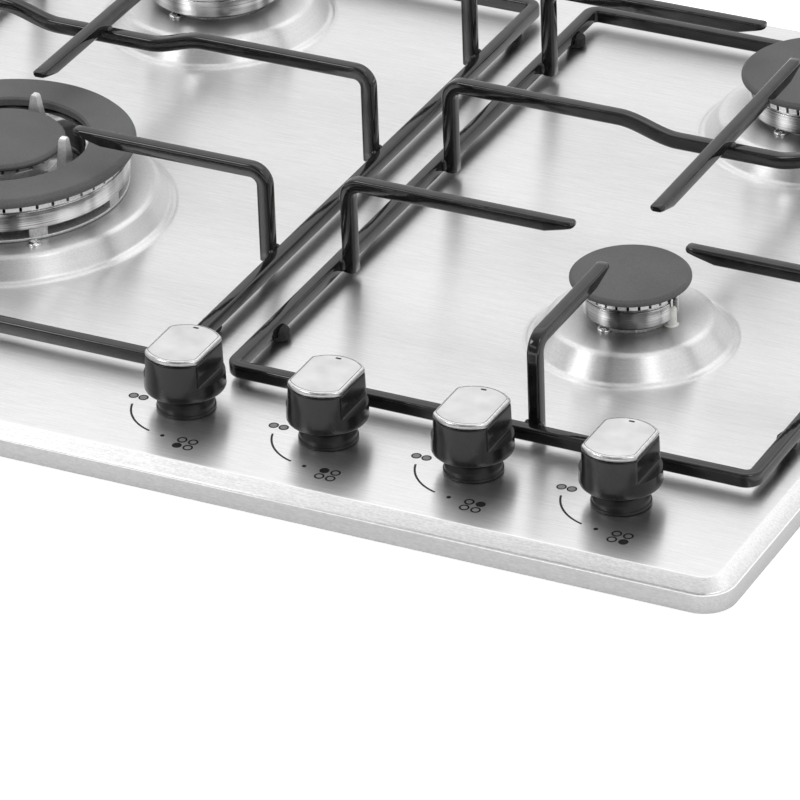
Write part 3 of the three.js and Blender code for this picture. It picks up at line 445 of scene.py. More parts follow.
def turned_aluminium():
    """Polished on a lathe: fine rings in height, and bright and dull banding round the part painted
    into the colour as reflections.
    """
    n = Nodes("turned_aluminium")
    rings = n.noise(n.mapping((12, 12, 2600)))
    reflection_bands = n.noise(n.mapping((75, 75, 2)), 1.0)
    tone = n.math("ADD", n.math("MULTIPLY", rings, 0.25), n.math("MULTIPLY", reflection_bands, 0.75))
    # The banding in the colour is a painted reflection; the fine rings are turning marks.
    n.set(base_color=n.ramp(tone, 0.20, 0.96, 0.40, 0.56), metallic=1.0)
    n.set(roughness=n.span(reflection_bands, 0.10, 0.24))
    n.bump(rings, 0.10, 0.00003)
    return n.material


def cap_enamel():
    n = Nodes("cap_enamel")
    speck = n.noise(n.mapping((1500, 1500, 1500)), 2.0, 0.7)
    cloud = n.noise(n.mapping((38, 38, 38)), 3.0)
    tone = n.math("ADD", n.math("MULTIPLY", speck, 0.7), n.math("MULTIPLY", cloud, 0.3))
    n.set(base_color=n.ramp(tone, (0.075, 0.075, 0.077, 1), (0.135, 0.135, 0.137, 1)))
    n.set(roughness=n.span(speck, 0.50, 0.66), specular_ior_level=0.30)
    n.bump(speck, 0.30, 0.00005)
    return n.material


def black_enamel():
    """Glossy glass enamel, slightly wavy, a little lighter and darker at random."""
    n = Nodes("black_enamel")
    wave = n.noise(n.mapping((150, 150, 150)))
    peel = n.noise(n.mapping((700, 700, 700)))
    n.set(base_color=n.ramp(wave, (0.006, 0.006, 0.006, 1), (0.016, 0.016, 0.016, 1)))
    n.set(roughness=n.span(peel, 0.04, 0.11), specular_ior_level=0.55)
    n.bump(n.math("ADD", wave, n.math("MULTIPLY", peel, 0.15)), 0.25, 0.0003)
    return n.material


def black_gloss(name="black_moulding", low=0.12, high=0.22):
    n = Nodes(name)
    cloud = n.noise(n.mapping((120, 120, 60)))
    fine = n.noise(n.mapping((1800, 1800, 600)))
    n.set(base_color=n.ramp(cloud, (0.007, 0.007, 0.008, 1), (0.013, 0.013, 0.014, 1)))
    n.set(roughness=n.span(fine, low, high), specular_ior_level=0.34)
    n.bump(fine, 0.06, 0.00003)
    return n.material


def satin_plate():
    """Fine bead-blasted plate."""
    n = Nodes("satin_plate")
    grain = n.noise(n.mapping((3200, 3200, 3200)), 2.0, 0.7)
    cloud = n.noise(n.mapping((80, 80, 80)))
    tone = n.math("ADD", n.math("MULTIPLY", grain, 0.4), n.math("MULTIPLY", cloud, 0.6))
    n.set(base_color=n.ramp(tone, 0.54, 0.76), metallic=1.0)
    n.set(roughness=n.math("ADD", n.span(grain, 0.28, 0.38), n.span(cloud, -0.03, 0.03)))
    n.bump(grain, 0.15, 0.00003)
    return n.material


def bright_metal(name="bright_metal", low=0.75, high=0.92, rough=0.12):
    n = Nodes(name)
    grain = n.noise(n.mapping((500, 500, 500)))
    n.set(base_color=n.ramp(grain, low, high), metallic=1.0)
    n.set(roughness=n.span(grain, rough, rough + 0.08))
    n.bump(grain, 0.08, 0.00003)
    return n.material


def galvanised():
    n = Nodes("galvanised_sheet")
    spangle = n.voronoi(n.mapping((140, 140, 140)))
    tone = n.math("FRACT", n.math("MULTIPLY", n.vec("LENGTH", spangle.outputs["Color"]), 3.1))
    n.set(base_color=n.ramp(tone, 0.36, 0.58, 0.0, 1.0), metallic=1.0)
    n.set(roughness=n.span(tone, 0.38, 0.56))
    n.bump(n.noise(n.mapping((600, 600, 600))), 0.12, 0.00005)
    return n.material


def rubber():
    n = Nodes("rubber")
    grain = n.noise(n.mapping((1400, 1400, 1400)), 3.0)
    n.set(base_color=n.ramp(grain, (0.012, 0.012, 0.012, 1), (0.035, 0.035, 0.036, 1)))
    n.set(roughness=n.span(grain, 0.70, 0.90), specular_ior_level=0.3)
    n.bump(grain, 0.35, 0.0001)
    return n.material


def foam():
    n = Nodes("closed_cell_foam")
    cells = n.voronoi(n.mapping((1500, 1500, 1500)))
    depth = cells.outputs["Distance"]
    n.set(base_color=n.ramp(depth, 0.02, 0.07, 0.0, 0.8), roughness=0.95)
    n.bump(depth, 0.5, 0.0002)
    return n.material


def brass():
    n = Nodes("machined_brass")
    rings = n.noise(n.mapping((30, 30, 1800)))
    cloud = n.noise(n.mapping((90, 90, 90)))
    n.set(base_color=n.ramp(cloud, (0.55, 0.38, 0.14, 1), (0.72, 0.55, 0.26, 1)), metallic=1.0)
    n.set(roughness=n.span(rings, 0.24, 0.40))
    n.bump(rings, 0.15, 0.00004)
    return n.material


def ceramic():
    n = Nodes("white_ceramic")
    cloud = n.noise(n.mapping((200, 200, 200)))
    n.set(base_color=n.ramp(cloud, (0.76, 0.75, 0.71, 1), (0.88, 0.87, 0.84, 1)))
    n.set(roughness=n.span(cloud, 0.18, 0.30), subsurface_weight=0.05)
    n.bump(n.noise(n.mapping((900, 900, 900))), 0.06, 0.00004)
    return n.material


def case_plastic():
    n = Nodes("case_plastic")
    grain = n.noise(n.mapping((1600, 1600, 1600)))
    n.set(base_color=n.ramp(grain, (0.70, 0.69, 0.64, 1), (0.80, 0.79, 0.74, 1)))
    n.set(roughness=n.span(grain, 0.45, 0.6))
    n.bump(grain, 0.2, 0.00005)
    return n.material


def ink(name, shade):
    n = Nodes(name)
    grain = n.noise(n.mapping((2500, 2500, 2500)))
    n.set(base_color=n.ramp(grain, shade, shade * 1.5))
    n.set(roughness=n.span(grain, 0.45, 0.6), specular_ior_level=0.3)
    return n.material


STEEL = panel_steel()
CAST = cast_aluminium()
# A lighter copy of the cast aluminium for the slotted port rings: partly the whitish tone of matte
# cast metal, partly painted light for the dim surroundings.
CAST_PAINTED_LIGHTER = cast_aluminium("cast_ring", 0.74, 0.95, 0.42)
TURNED = turned_aluminium()
CAP = cap_enamel()
ENAMEL = black_enamel()
GLOSS = black_gloss()
COLLAR = black_gloss("black_collar", 0.28, 0.40)
SATIN = satin_plate()
BRIGHT = bright_metal()
PLATE_RIM = bright_metal("plate_rim", 0.52, 0.66, 0.22)
# Darker copies of the plate metal: painted shade on the plate's side faces, and a painted dark line
# of shade round the edge of its top.
PLATE_SIDE_SHADE = bright_metal("plate_side_shade", 0.34, 0.44, 0.30)
PLATE_SHADE_LINE = bright_metal("plate_shade_line", 0.08, 0.13, 0.35)
ZINC = bright_metal("zinc_plated", 0.50, 0.68, 0.28)
PIPE = bright_metal("drawn_aluminium", 0.62, 0.78, 0.30)
SHEET_METAL = galvanised()
RUBBER = rubber()
FOAM = foam()
BRASS = brass()
CERAMIC = ceramic()
CASE = case_plastic()
INK = ink("printed_black", 0.006)
GREY_INK = ink("printed_grey", 0.2)

# ---------------- top panel


def rounded_loop(inset, z):
    """One loop round the panel at a distance inside its edge."""
    steps = 10
    w, d = PANEL[0] / 2 - inset, PANEL[1] / 2 - inset
    r = max(PANEL_CORNER - inset, 1.0)
    loop = []
    corners = ((w - r, d - r, 0), (r - w, d - r, 90), (r - w, r - d, 180), (w - r, r - d, 270))
    for cx, cy, start in corners:
        for i in range(steps + 1):
            a = math.radians(start + 90 * i / steps)
            loop.append((cx + r * math.cos(a), cy + r * math.sin(a), z))
    return loop


def cone_outline(kind):
    """A raised burner plateau, from its toe up to its burner hole."""
    base, run = kind["base"], kind["run"]
    points = [
        (base + 1.6, FIELD),
        (base - 0.2, FIELD),
        (base - 1.4, FIELD + 0.8),
        (base - 3.4, FIELD + 1.1),
        (base - run + 0.5, PLATEAU - 1.2),
        (base - run - 1.6, PLATEAU),
        (kind["hole"], PLATEAU),
        (kind["hole"], PLATEAU - SHEET),
    ]
    return fillet(points, [0, 0.8, 0.7, 1.6, 2.4, 4.0, 0.0, 0.0], 5)


def make_panel():
    skin = Shape()
    edge = [(0, BOX_DEPTH), (0, BOX_DEPTH + EDGE_HEIGHT), (7.75, FIELD), (11.5, FIELD)]
    edge = fillet(edge, [0, 1.4, 2.2, 0], 5)
    # The sheet's inner face, from below the fold down to the rim.
    under = [(SHEET, BOX_DEPTH + EDGE_HEIGHT - 0.8), (SHEET, BOX_DEPTH)]
    profile = under + edge
    rows = [rounded_loop(inset, z) for inset, z in profile]
    skin.rings(rows)
    outer = [Vector(p) for p in rows[-1]]
    loops = [outer]
    for x, y, kind in BURNERS.values():
        loops.append([Vector(p) for p in circle(x, y, kind["base"] + 1.6, FIELD, 144)])
    for x in KNOBS.values():
        loops.append([Vector(p) for p in circle(x, KNOB_Y, KNOB_HOLE, FIELD, 32)])
    flat = [tuple(p) for loop in loops for p in loop]
    skin.add(flat, [tuple(t) for t in tessellate_polygon(loops)])
    for x in KNOBS.values():
        skin.lathe([(KNOB_HOLE, FIELD), (KNOB_HOLE, FIELD - SHEET)], 32, (x, KNOB_Y, 0))
    for x, y, kind in BURNERS.values():
        skin.lathe(cone_outline(kind), 144, (x, y, 0))
    piece = skin.make("panel_sheet", STEEL, "hob", ["top_panel"], sharp=50)
    face_up(piece)


def face_up(piece):
    """Turns the panel's open skin so that its field faces up."""
    mesh = piece.data
    big = max(mesh.polygons, key=lambda p: p.area * abs(p.normal.z))
    if big.normal.z < 0:
        mesh.flip_normals()


# ---------------- burners


def place_of(name):
    x, y, kind = BURNERS[name]
    return (x, y, 0.0), kind


def spark_notch(name):
    """The notch in a crown's wall where the electrode stands, as Shape.lathe takes it."""
    return SPARKS[name], BURNERS[name][2]["crown"] - 5.0, 3.8


def add_ports(shape, name, low, top, gap):
    """A crown's slotted ring, with the slots' half width, left open at the electrode."""
    place, kind = place_of(name)
    r, slots = kind["crown"], kind["slots"]
    half = gap / r
    for i in range(slots):
        a0 = 2 * math.pi * i / slots + half
        a1 = 2 * math.pi * (i + 1) / slots - half
        off = wrap((a0 + a1) / 2 - SPARKS[name])
        if abs(off) >= math.asin(4.2 / r) + 0.5 * (a1 - a0):
            shape.sector(r - RING_IN, r - RING_OUT, low, top, a0, a1, 4, place)


def add_crown(name):
    place, kind = place_of(name)
    r, low = kind["crown"], PLATEAU + CROWN_LIFT
    band_top = low + BAND
    top = band_top + PORTS
    ring_in, ring_out = r - RING_IN, r - RING_OUT
    bore = kind["hole"] - 4.9
    band = Shape()
    outline = fillet(
        [(bore, low - 6), (bore + 2.2, low - 6), (bore + 2.2, low), (r - 1.0, low), (r, low + 1.0),
         (r, band_top), (ring_out, band_top), (ring_out, band_top + 1.0), (ring_in, band_top + 1.0),
         (ring_in, low + 2.2), (bore, low + 2.2)],
        [0, 0.3, 0.3, 0.3, 0.6, 0.3, 0.1, 0.3, 0.3, 0.5, 0.3, 0],
        3,
    )
    band.lathe(outline, 120, place, close=True, cut=spark_notch(name))
    body, node = f"crown_{name}", f"burner_crown_{name}"
    band.make(f"crown_band_{name}", TURNED, body, [node])
    ring = Shape()
    add_ports(ring, name, band_top + 1.0, top, 0.65)
    ring.make(f"crown_ports_{name}", CAST_PAINTED_LIGHTER, body, ())


def add_cap(name):
    place, kind = place_of(name)
    r = kind["cap"]
    under = PLATEAU + CROWN_LIFT + BAND + PORTS + REST
    top = under + 3.6
    spigot = kind["crown"] - RING_IN - REST - 0.9
    outline = fillet(
        [(0, under - 2.5), (spigot, under - 2.5), (spigot, under), (r - 1.3, under),
         (r, under + 1.0), (r, top - 1.2), (r - 1.4, top), (r * 0.6, top + 0.25), (0, top + 0.4)],
        [0, 0.4, 0.4, 0.5, 0.9, 1.0, 1.4, 6.0, 0],
        5,
    )
    cap = Shape()
    cap.lathe(outline, 128, place)
    cap.make(f"cap_{name}", CAP, f"cap_{name}", [f"burner_cap_{name}"])


def add_large_burner():
    name = "front_left"
    place, kind = place_of(name)
    notch = spark_notch(name)
    foot = PLATEAU + REST
    low = foot + 6.0
    band_top = low + BAND
    top = band_top + 3.8
    r = kind["crown"]
    inner_low, inner_top = top - 7.5, top + 2.2
    body = f"crown_{name}"

    band = Shape()
    ring_out, wall_out, wall_in = r - RING_OUT, r - RING_IN, 42 + 2.2
    band.lathe(
        fillet(
            [(wall_in - 4.4, low), (r - 0.3, low), (r, low + 0.4), (r, band_top),
             (ring_out, band_top), (ring_out, band_top + 0.5), (wall_out, band_top + 0.5),
             (wall_out, low + 2.2), (wall_in, low + 2.2), (wall_in, top), (wall_in - 4.4, top)],
            [0, 0.2, 0.2, 0.3, 0.1, 0.3, 0.3, 0.6, 0.6, 0.3, 0.3, 0],
            3,
        ),
        168, place, close=True, cut=notch,
    )
    band.make("large_crown_band", TURNED, body, [f"burner_crown_{name}"])

    ports = Shape()
    add_ports(ports, name, band_top + 0.5, top, 0.7)
    # Inner ring with its own ports, the arms and the upright tabs.
    bore, sill = 22.6, inner_top - 2.4
    ports.lathe(
        fillet(
            [(bore, inner_low), (27, inner_low), (27, inner_top - 2.6), (26.6, sill), (bore, sill)],
            [0, 0.4, 0.2, 0.2, 0], 3,
        ),
        96, place, close=True,
    )
    inner_slots, gap = 24, 0.03
    for i in range(inner_slots):
        a0 = 2 * math.pi * i / inner_slots + gap
        a1 = 2 * math.pi * (i + 1) / inner_slots - gap
        ports.sector(bore, 26.9 if i % 2 else 27.4, sill, inner_top, a0, a1, 3, place)
    for k in range(4):
        a = math.pi / 2 * k
        arm = [
            [(24.8, -6.5, z), (24.8, 6.5, z), (42.0, 6.5, z), (42.0, -6.5, z)]
            for z in (inner_low, top - 3.8)
        ]
        ports.rings(arm, place, a, cap_start=True, cap_end=True)
        tip = top + 4.8 + 8.0
        tab = []
        for z, w, t in (
            # height, half width, half thickness
            (inner_low + REST, 4.8, 2.4), (top - 1.0, 3.9, 2.35), (tip - 1.7, 1.75, 2.0),
            (tip - 0.5, 1.3, 1.6), (tip, 0.7, 0.9),
        ):
            near, far = 34.2 - t, 34.2 + t
            tab.append([(near, -w, z), (far, -w, z), (far, w, z), (near, w, z)])
        ports.rings(tab, place, a, cap_start=True, cap_end=True)
    ports.make("large_crown_ports", CAST_PAINTED_LIGHTER, body, (), sharp=30)

    legs = Shape()
    legs.lathe(
        fillet(
            [(wall_in, foot), (r - 0.6, foot), (r - 0.6, foot + 1.4), (wall_in, foot + 1.4)],
            [0, 0.3, 0.5, 0], 3,
        ),
        144, place, close=True, cut=notch,
    )
    span = 4.5 / r
    for a in turn_angles(8):
        if abs(wrap(a - SPARKS[name])) >= span + 0.07:
            legs.sector(wall_in + 1, r - 0.8, foot + 1.0, low + 0.4, a - span, a + span, 4, place)
    legs.make("large_crown_legs", CAST, body, (), sharp=30)

    ring = Shape()
    under = top + REST
    cap_top = under + 4.8
    ring.lathe(
        fillet(
            [(42, under + 1), (43, under), (63, under), (64, under + 1), (64, cap_top - 2),
             (62, cap_top), (43, cap_top), (42, cap_top - 1)],
            [0, 0.5, 0.6, 0.8, 1.6, 1.8, 0.8, 0], 5,
        ),
        168, place, close=True,
    )
    ring.make("ring_cap", CAP, f"cap_{name}", [f"burner_cap_{name}"])

    inner = Shape()
    under = inner_top + REST
    cap_top = under + 3.6
    inner.lathe(
        fillet(
            [(0, under - 2.5), (22.3, under - 2.5), (22.3, under), (29.4, under),
             (30.6, under + 1.1), (30.6, cap_top - 1.3), (29.0, cap_top), (16, cap_top + 0.3),
             (0, cap_top + 0.4)],
            [0, 0.3, 0.3, 0.5, 0.9, 1.0, 1.5, 6, 0], 5,
        ),
        112, place,
    )
    inner.make("inner_cap", CAP, f"inner_cap_{name}", [f"inner_cap_{name}"])


def add_electrode(name):
    (x, y, _), kind = place_of(name)
    reach = kind["crown"] - 1.6
    spot = (x + reach * math.cos(SPARKS[name]), y + reach * math.sin(SPARKS[name]), 0)
    low, top = PLATEAU - 16, PLATEAU + 9
    body = Shape()
    body.lathe(
        fillet(
            [(0, low), (2.6, low), (2.6, PLATEAU - 1.5), (3.9, PLATEAU - 1.5), (3.9, PLATEAU - 0.2),
             (2.6, PLATEAU + 0.4), (2.6, top - 0.8), (1.5, top), (0, top)],
            [0, 0.3, 0.2, 0.3, 0.3, 0.3, 0.6, 0.4, 0], 4,
        ),
        32, spot,
    )
    body.make(f"spark_plug_{name}", CERAMIC, "hob", [f"electrode_{name}"])
    tip = Shape()
    pin = [(0, top - 1), (0.8, top - 1), (0.8, top + 3.6), (0.5, top + 4.0), (0, top + 4.0)]
    tip.lathe(pin, 20, spot)
    tip.make(f"spark_tip_{name}", BRIGHT, "hob", ())


def add_screw(name, x, y):
    """A cross-recessed pan-head screw on a plateau."""
    size = 3.2
    head = Shape()
    outline = [(0.01, 1.9), (size * 0.55, 1.9), (size, 1.1), (size, 0.0)]
    rows = []
    for r, h in fillet(outline, [0, 1.2, 0.6, 0], 4):
        row = []
        for a in turn_angles(48):
            px, py = r * math.cos(a), r * math.sin(a)
            arm = min(abs(px), abs(py))
            reach = max(abs(px), abs(py))
            deep = 0.9 if arm < 0.45 and reach < size * 0.6 else 0.0
            row.append((px, py, h - deep))
        rows.append(row)
    head.rings(rows, (x, y, PLATEAU), 0.5, cap_start=True)
    head.make(name, BRIGHT, "hob", (), sharp=40)


def add_screws():
    for name, (x, y, kind) in BURNERS.items():
        if kind is WOK:
            angles, reach = (-48, 72, 192), 63.9
        else:
            angles, reach = (-105, 75), kind["crown"] - 3.2
        for i, degrees in enumerate(angles):
            a = math.radians(degrees)
            add_screw(f"screw_{name}_{i + 1}", x + reach * math.cos(a), y + reach * math.sin(a))


# ---------------- pan supports


def bar_section(width, height, edge=1.5):
    """A rounded bar section as (across, up) points."""
    steps = 4
    pts = []
    w, h = width / 2 - edge, height / 2 - edge
    for cx, cy, start in ((w, h, 0), (-w, h, 90), (-w, -h, 180), (w, -h, 270)):
        for i in range(steps + 1):
            a = math.radians(start + 90 * i / steps)
            pts.append((cx + edge * math.cos(a), cy + edge * math.sin(a)))
    return pts


def arc_points(cx, cy, r, a0, a1, steps):
    angles = [math.radians(a0 + (a1 - a0) * i / steps) for i in range(steps + 1)]
    return [(cx + r * math.cos(a), cy + r * math.sin(a)) for a in angles]


def sweep_bar(shape, path, place, turn, taper_end=0.0, taper_start=0.0):
    """Sweeps the bar section along (distance, height), with its underside tapered at the tips."""
    pts = [Vector(p) for p in path]
    total = [0.0]
    for a, b in zip(pts, pts[1:]):
        total.append(total[-1] + (b - a).length)
    last = len(pts) - 1
    bevel = 0.9

    def row_at(i, shrink, push):
        a = pts[max(i - 1, 0)]
        b = pts[min(i + 1, last)]
        along = (b - a).normalized()
        normal = Vector((-along.y, along.x))
        height = BAR_H
        to_end, to_start = total[-1] - total[i], total[i]
        if taper_end and to_end < taper_end:
            height = TIP_FACE + (BAR_H - TIP_FACE) * to_end / taper_end
        if taper_start and to_start < taper_start:
            height = min(height, TIP_FACE + (BAR_H - TIP_FACE) * to_start / taper_start)
        drop = (BAR_H - height) / 2
        edge = min(1.5, height / 2 - 0.2)
        row = []
        for across, up in bar_section(BAR_W, height, edge):
            rise = up * shrink + drop * shrink + (1 - shrink) * drop
            p = pts[i] + normal * rise + along * push
            row.append((p.x, across * shrink, p.y))
        return row

    # The end faces are bevelled: a smaller loop, then the full section a little further in.
    rows = [row_at(0, 0.72, 0.0)]
    for i in range(len(pts)):
        rows.append(row_at(i, 1.0, {0: bevel, last: -bevel}.get(i, 0.0)))
    rows.append(row_at(last, 0.72, 0.0))
    shape.rings(rows, place, turn, cap_start=True, cap_end=True)


def leg_path(foot):
    """Up the leg, round the bend and onto the level."""
    bend = 10.5
    r = bend - BAR_H / 2
    up = [(BAR_H / 2, foot), (BAR_H / 2, foot + 6), (BAR_H / 2, BAR_MID - r - 6)]
    return up + arc_points(bend, BAR_MID - r, r, 180, 90, 12)


def finger_path(length, foot):
    tail = [(length - back, BAR_MID) for back in (15, TAPER, 9, 4, 0)]
    return leg_path(foot) + [(16, BAR_MID)] + [p for p in tail if p[0] > 17]


def ease(t):
    return t * t * (3 - 2 * t)


def cross_path(length, dip_centre):
    """From leg to leg, with a dip below the long finger."""
    up = leg_path(RAIL_LOW)
    level = []
    margin, flat, slope = 18.0, 25, 30
    x = margin
    while x < length - margin:
        off = abs(x - dip_centre)
        dip = CROSS_DIP if off < flat else CROSS_DIP * (1 - ease(min(1, (off - flat) / slope)))
        level.append((x, BAR_MID - dip))
        x += 2.0
    down = [(length - x, z) for x, z in reversed(up)]
    return up + level + down


def add_support(name, left, right, front, rear, burner_x, clearance, bridge, shift):
    """A pan support: the rail round it, six fingers, the cross bar and the long finger on it."""
    steel = Shape()
    cx, cy = (left + right) / 2, (front + rear) / 2
    w, d, r = (right - left) / 2 - BAR_W / 2, (rear - front) / 2 - BAR_W / 2, 8 - BAR_W / 2
    section = bar_section(BAR_W, BAR_H)
    rail = []
    for sx, sy, start in ((1, 1, 0), (-1, 1, 90), (-1, -1, 180), (1, -1, 270)):
        px, py = cx + sx * (w - r), cy + sy * (d - r)
        for i in range(9):
            a = math.radians(start + 90 * i / 8)
            row = []
            for across, up in section:
                reach, z = r + across, (RAIL_LOW + RAIL_TOP) / 2 + up
                row.append((px + reach * math.cos(a), py + reach * math.sin(a), z))
            rail.append(row)
    steel.rings(rail, close=True)

    inset = BAR_W - 0.4
    left_leg, right_leg, front_leg = left + inset, right - inset, front + inset
    rows = [(SIDE_Y + shift, clearance), (REAR_Y + shift, FINGER_GAP), (CROSS_Y + shift, None)]
    for y, gap in rows:
        if gap is None:
            path = cross_path(right_leg - left_leg, burner_x - left_leg)
            sweep_bar(steel, path, (left_leg, y, 0), 0)
        else:
            path = finger_path(burner_x - gap - left_leg, RAIL_LOW)
            sweep_bar(steel, path, (left_leg, y, 0), 0, TAPER)
            path = finger_path(right_leg - burner_x - gap, RAIL_LOW)
            sweep_bar(steel, path, (right_leg, y, 0), math.pi, TAPER)
        for x, inward in ((left_leg, 1), (right_leg, -1)):
            # Weld beads on both sides of the leg, along the rail.
            for side in (-1, 1):
                steel.blob((x + inward * 0.6, y + side * 3.3, RAIL_LOW + 4.4), (2.0, 1.7, 3.4))
    path = finger_path(FRONT_Y - clearance - front_leg, RAIL_LOW)
    sweep_bar(steel, path, (burner_x, front_leg, 0), math.pi / 2, TAPER)
    for side in (-1, 1):
        steel.blob((burner_x + side * 3.3, front_leg + 0.6, RAIL_LOW + 4.4), (1.7, 2.0, 3.4))
    # The rear finger stands on the rail, the others at its side.
    path = finger_path(rear - (REAR_Y + shift + FINGER_GAP), RAIL_TOP - 0.4)
    sweep_bar(steel, path, (burner_x, rear, 0), -math.pi / 2, TAPER)
    start, end = FRONT_Y + bridge, REAR_Y + shift - FINGER_GAP
    length = end - start
    near = [0, 4, 9, TAPER, 20]
    knots = near + [length / 2] + [length - k for k in reversed(near)]
    path = [(k, BAR_MID) for k in knots]
    sweep_bar(steel, path, (burner_x, start, 0), math.pi / 2, TAPER, TAPER)
    for side in (-1, 1):
        steel.blob((burner_x + side * 2.4, CROSS_Y + shift, FINGER_TOP - 6.7), (2.2, 2.6, 1.3))
    body, node = f"{name}_pan_support", f"{name}_grate"
    steel.make(f"{name}_wire", ENAMEL, body, [node], sharp=50)


# ---------------- knobs


def soft_min(a, b, k):
    """The smaller of two distances, with a rounded meeting of width k."""
    h = max(k - abs(a - b), 0) / k
    return min(a, b) - h * h * k / 4


def flatted_rows(levels, soft):
    """Circles of (radius, half width, height), cut by two flats where a half width is given."""
    rows = []
    for radius, half, z in levels:
        row = []
        for a in turn_angles(KNOB_STEPS):
            r = radius
            if half is not None:
                c = abs(math.cos(a))
                r = soft_min(radius, half / c if c > 1e-6 else 1e9, soft)
            row.append((r * math.cos(a), r * math.sin(a), z))
        rows.append(row)
    return rows


def add_knob(name):
    x = KNOBS[name]
    skirt, ledge, roof = FIELD + 10.7, FIELD + 18.2, FIELD + 29.7
    place, rider = (x, KNOB_Y, 0), f"knob_{name}"
    body = Shape()
    levels = [
        (13.6, None, skirt + 0.9), (16.4, None, skirt + 0.2), (17.6, None, skirt),
        (18.3, None, skirt + 0.35), (18.6, None, skirt + 1.1), (18.55, None, skirt + 3.5),
        (18.46, None, ledge - 1.0), (18.44, None, ledge - 0.3), (18.42, None, ledge),
        (18.42, 16.0, ledge + 0.02), (18.42, 13.9, ledge + 0.05), (18.41, 13.55, ledge + 0.15),
        (18.4, 13.44, ledge + 0.35), (18.28, 13.38, ledge + 4.0), (18.1, 13.3, roof - 1.0),
        (18.0, 13.2, roof - 0.3), (17.7, 12.9, roof),
    ]
    body.rings(flatted_rows(levels, 0.5), place, cap_end=True)
    # The hollow inside the skirt, with the boss that takes the spindle.
    hollow = (
        (13.6, skirt + 0.9), (16.2, skirt + 1.6), (16.2, ledge - 2.2), (5.6, ledge - 2.2),
        (5.6, skirt + 4.5), (3.5, skirt + 4.5), (3.5, FIELD + 24.3),
    )
    body.rings([circle(0, 0, r, z, KNOB_STEPS) for r, z in hollow], place)
    body.make(f"knob_body_{name}", GLOSS, rider, [f"knob_{name}"], sharp=60)

    plate = Shape()
    low, top = roof + 0.3, roof + 2.8
    levels = [
        (17.0, 12.3, low), (17.7, 13.0, low + 0.02), (18.0, 13.3, low + 0.3),
        (18.0, 13.3, top - 1.15), (17.88, 13.2, top - 0.75), (17.6, 12.95, top - 0.35),
        (17.2, 12.6, top - 0.1), (16.7, 12.2, top), (16.4, 11.9, top),
    ]
    plate.rings(flatted_rows(levels, 0.7), place, cap_start=True, cap_end=True)
    node = f"knob_plate_{name}"
    piece = plate.make(f"knob_face_{name}", SATIN, rider, [node], sharp=60)
    for material in (PLATE_RIM, PLATE_SIDE_SHADE, PLATE_SHADE_LINE):
        piece.data.materials.append(material)
    face_coat, rim_coat, side_shade_coat, shade_line_coat = range(4)
    # The side faces and the thin ring of quads round the top take the darker copies: painted shade.
    coat = []
    for face in piece.data.polygons:
        heights = [piece.data.vertices[v].co.z for v in face.vertices]
        if max(heights) < (top - 0.7) * MM:
            coat.append(side_shade_coat)
        elif min(heights) < (top - 0.02) * MM:
            coat.append(rim_coat)
        else:
            coat.append(shade_line_coat if len(face.vertices) == 4 else face_coat)
    piece.data.polygons.foreach_set("material_index", coat)

    mark = Shape()
    add_slot_mark(mark, x - 1.0, KNOB_Y + 14.4, top + 0.03, 1.45, 0.6)
    mark.make(f"knob_pointer_{name}", INK, rider, ())


def add_slot_mark(shape, x, y, z, half_x, half_y):
    """A short dash with round ends."""
    loop = []
    for a in turn_angles(28):
        shift = (half_x - half_y) * (1 if math.cos(a) >= 0 else -1)
        loop.append((x + shift + half_y * math.cos(a), y + half_y * math.sin(a), z))
    thick(shape, loop, 0.06)


def thick(shape, loop, height):
    low = [(x, y, z - height) for x, y, z in loop]
    shape.rings([low, loop], cap_start=True, cap_end=True)


def add_collar(name):
    x = KNOBS[name]
    low, top = FIELD + 0.3, FIELD + 7.9
    neck = Shape()
    neck.lathe(
        fillet(
            [(9.7, low), (13.6, low), (13.6, low + 1.2), (13.0, low + 1.5), (13.2, FIELD + 4.2),
             (11.9, top - 1.4), (10.9, top), (6, top), (6, top - 2), (9.7, top - 2)],
            [0, 0.3, 0.5, 0.3, 2.4, 1.0, 0.8, 0.3, 0.3, 0], 5,
        ),
        72, (x, KNOB_Y, 0), close=True,
    )
    neck.make(f"collar_{name}", COLLAR, "hob", [f"knob_collar_{name}"])


# ---------------- printed marks


def disc(shape, x, y, radius, z=INK_TOP):
    thick(shape, circle(x, y, radius, z, 36), INK_DEPTH)


def circle_line(shape, x, y, radius, width, a0=0.0, a1=360.0):
    """A printed ring, or an arc between two angles in degrees."""
    full = a1 - a0 >= 360
    steps = 64
    inner, outer = radius - width / 2, radius + width / 2
    low, top = INK_TOP - INK_DEPTH, INK_TOP
    rows = []
    for i in range(steps if full else steps + 1):
        a = math.radians(a0 + (a1 - a0) * i / steps)
        c, s = math.cos(a), math.sin(a)
        corners = ((inner, low), (outer, low), (outer, top), (inner, top))
        rows.append([(x + r * c, y + r * s, z) for r, z in corners])
    shape.rings(rows, close=full, cap_start=not full, cap_end=not full)


# The circle of each group that is filled, which names the burner.
FILLED = {
    "front_left": (-1, -1),
    "rear_left": (-1, 1),
    "rear_right": (1, 1),
    "front_right": (1, -1),
}


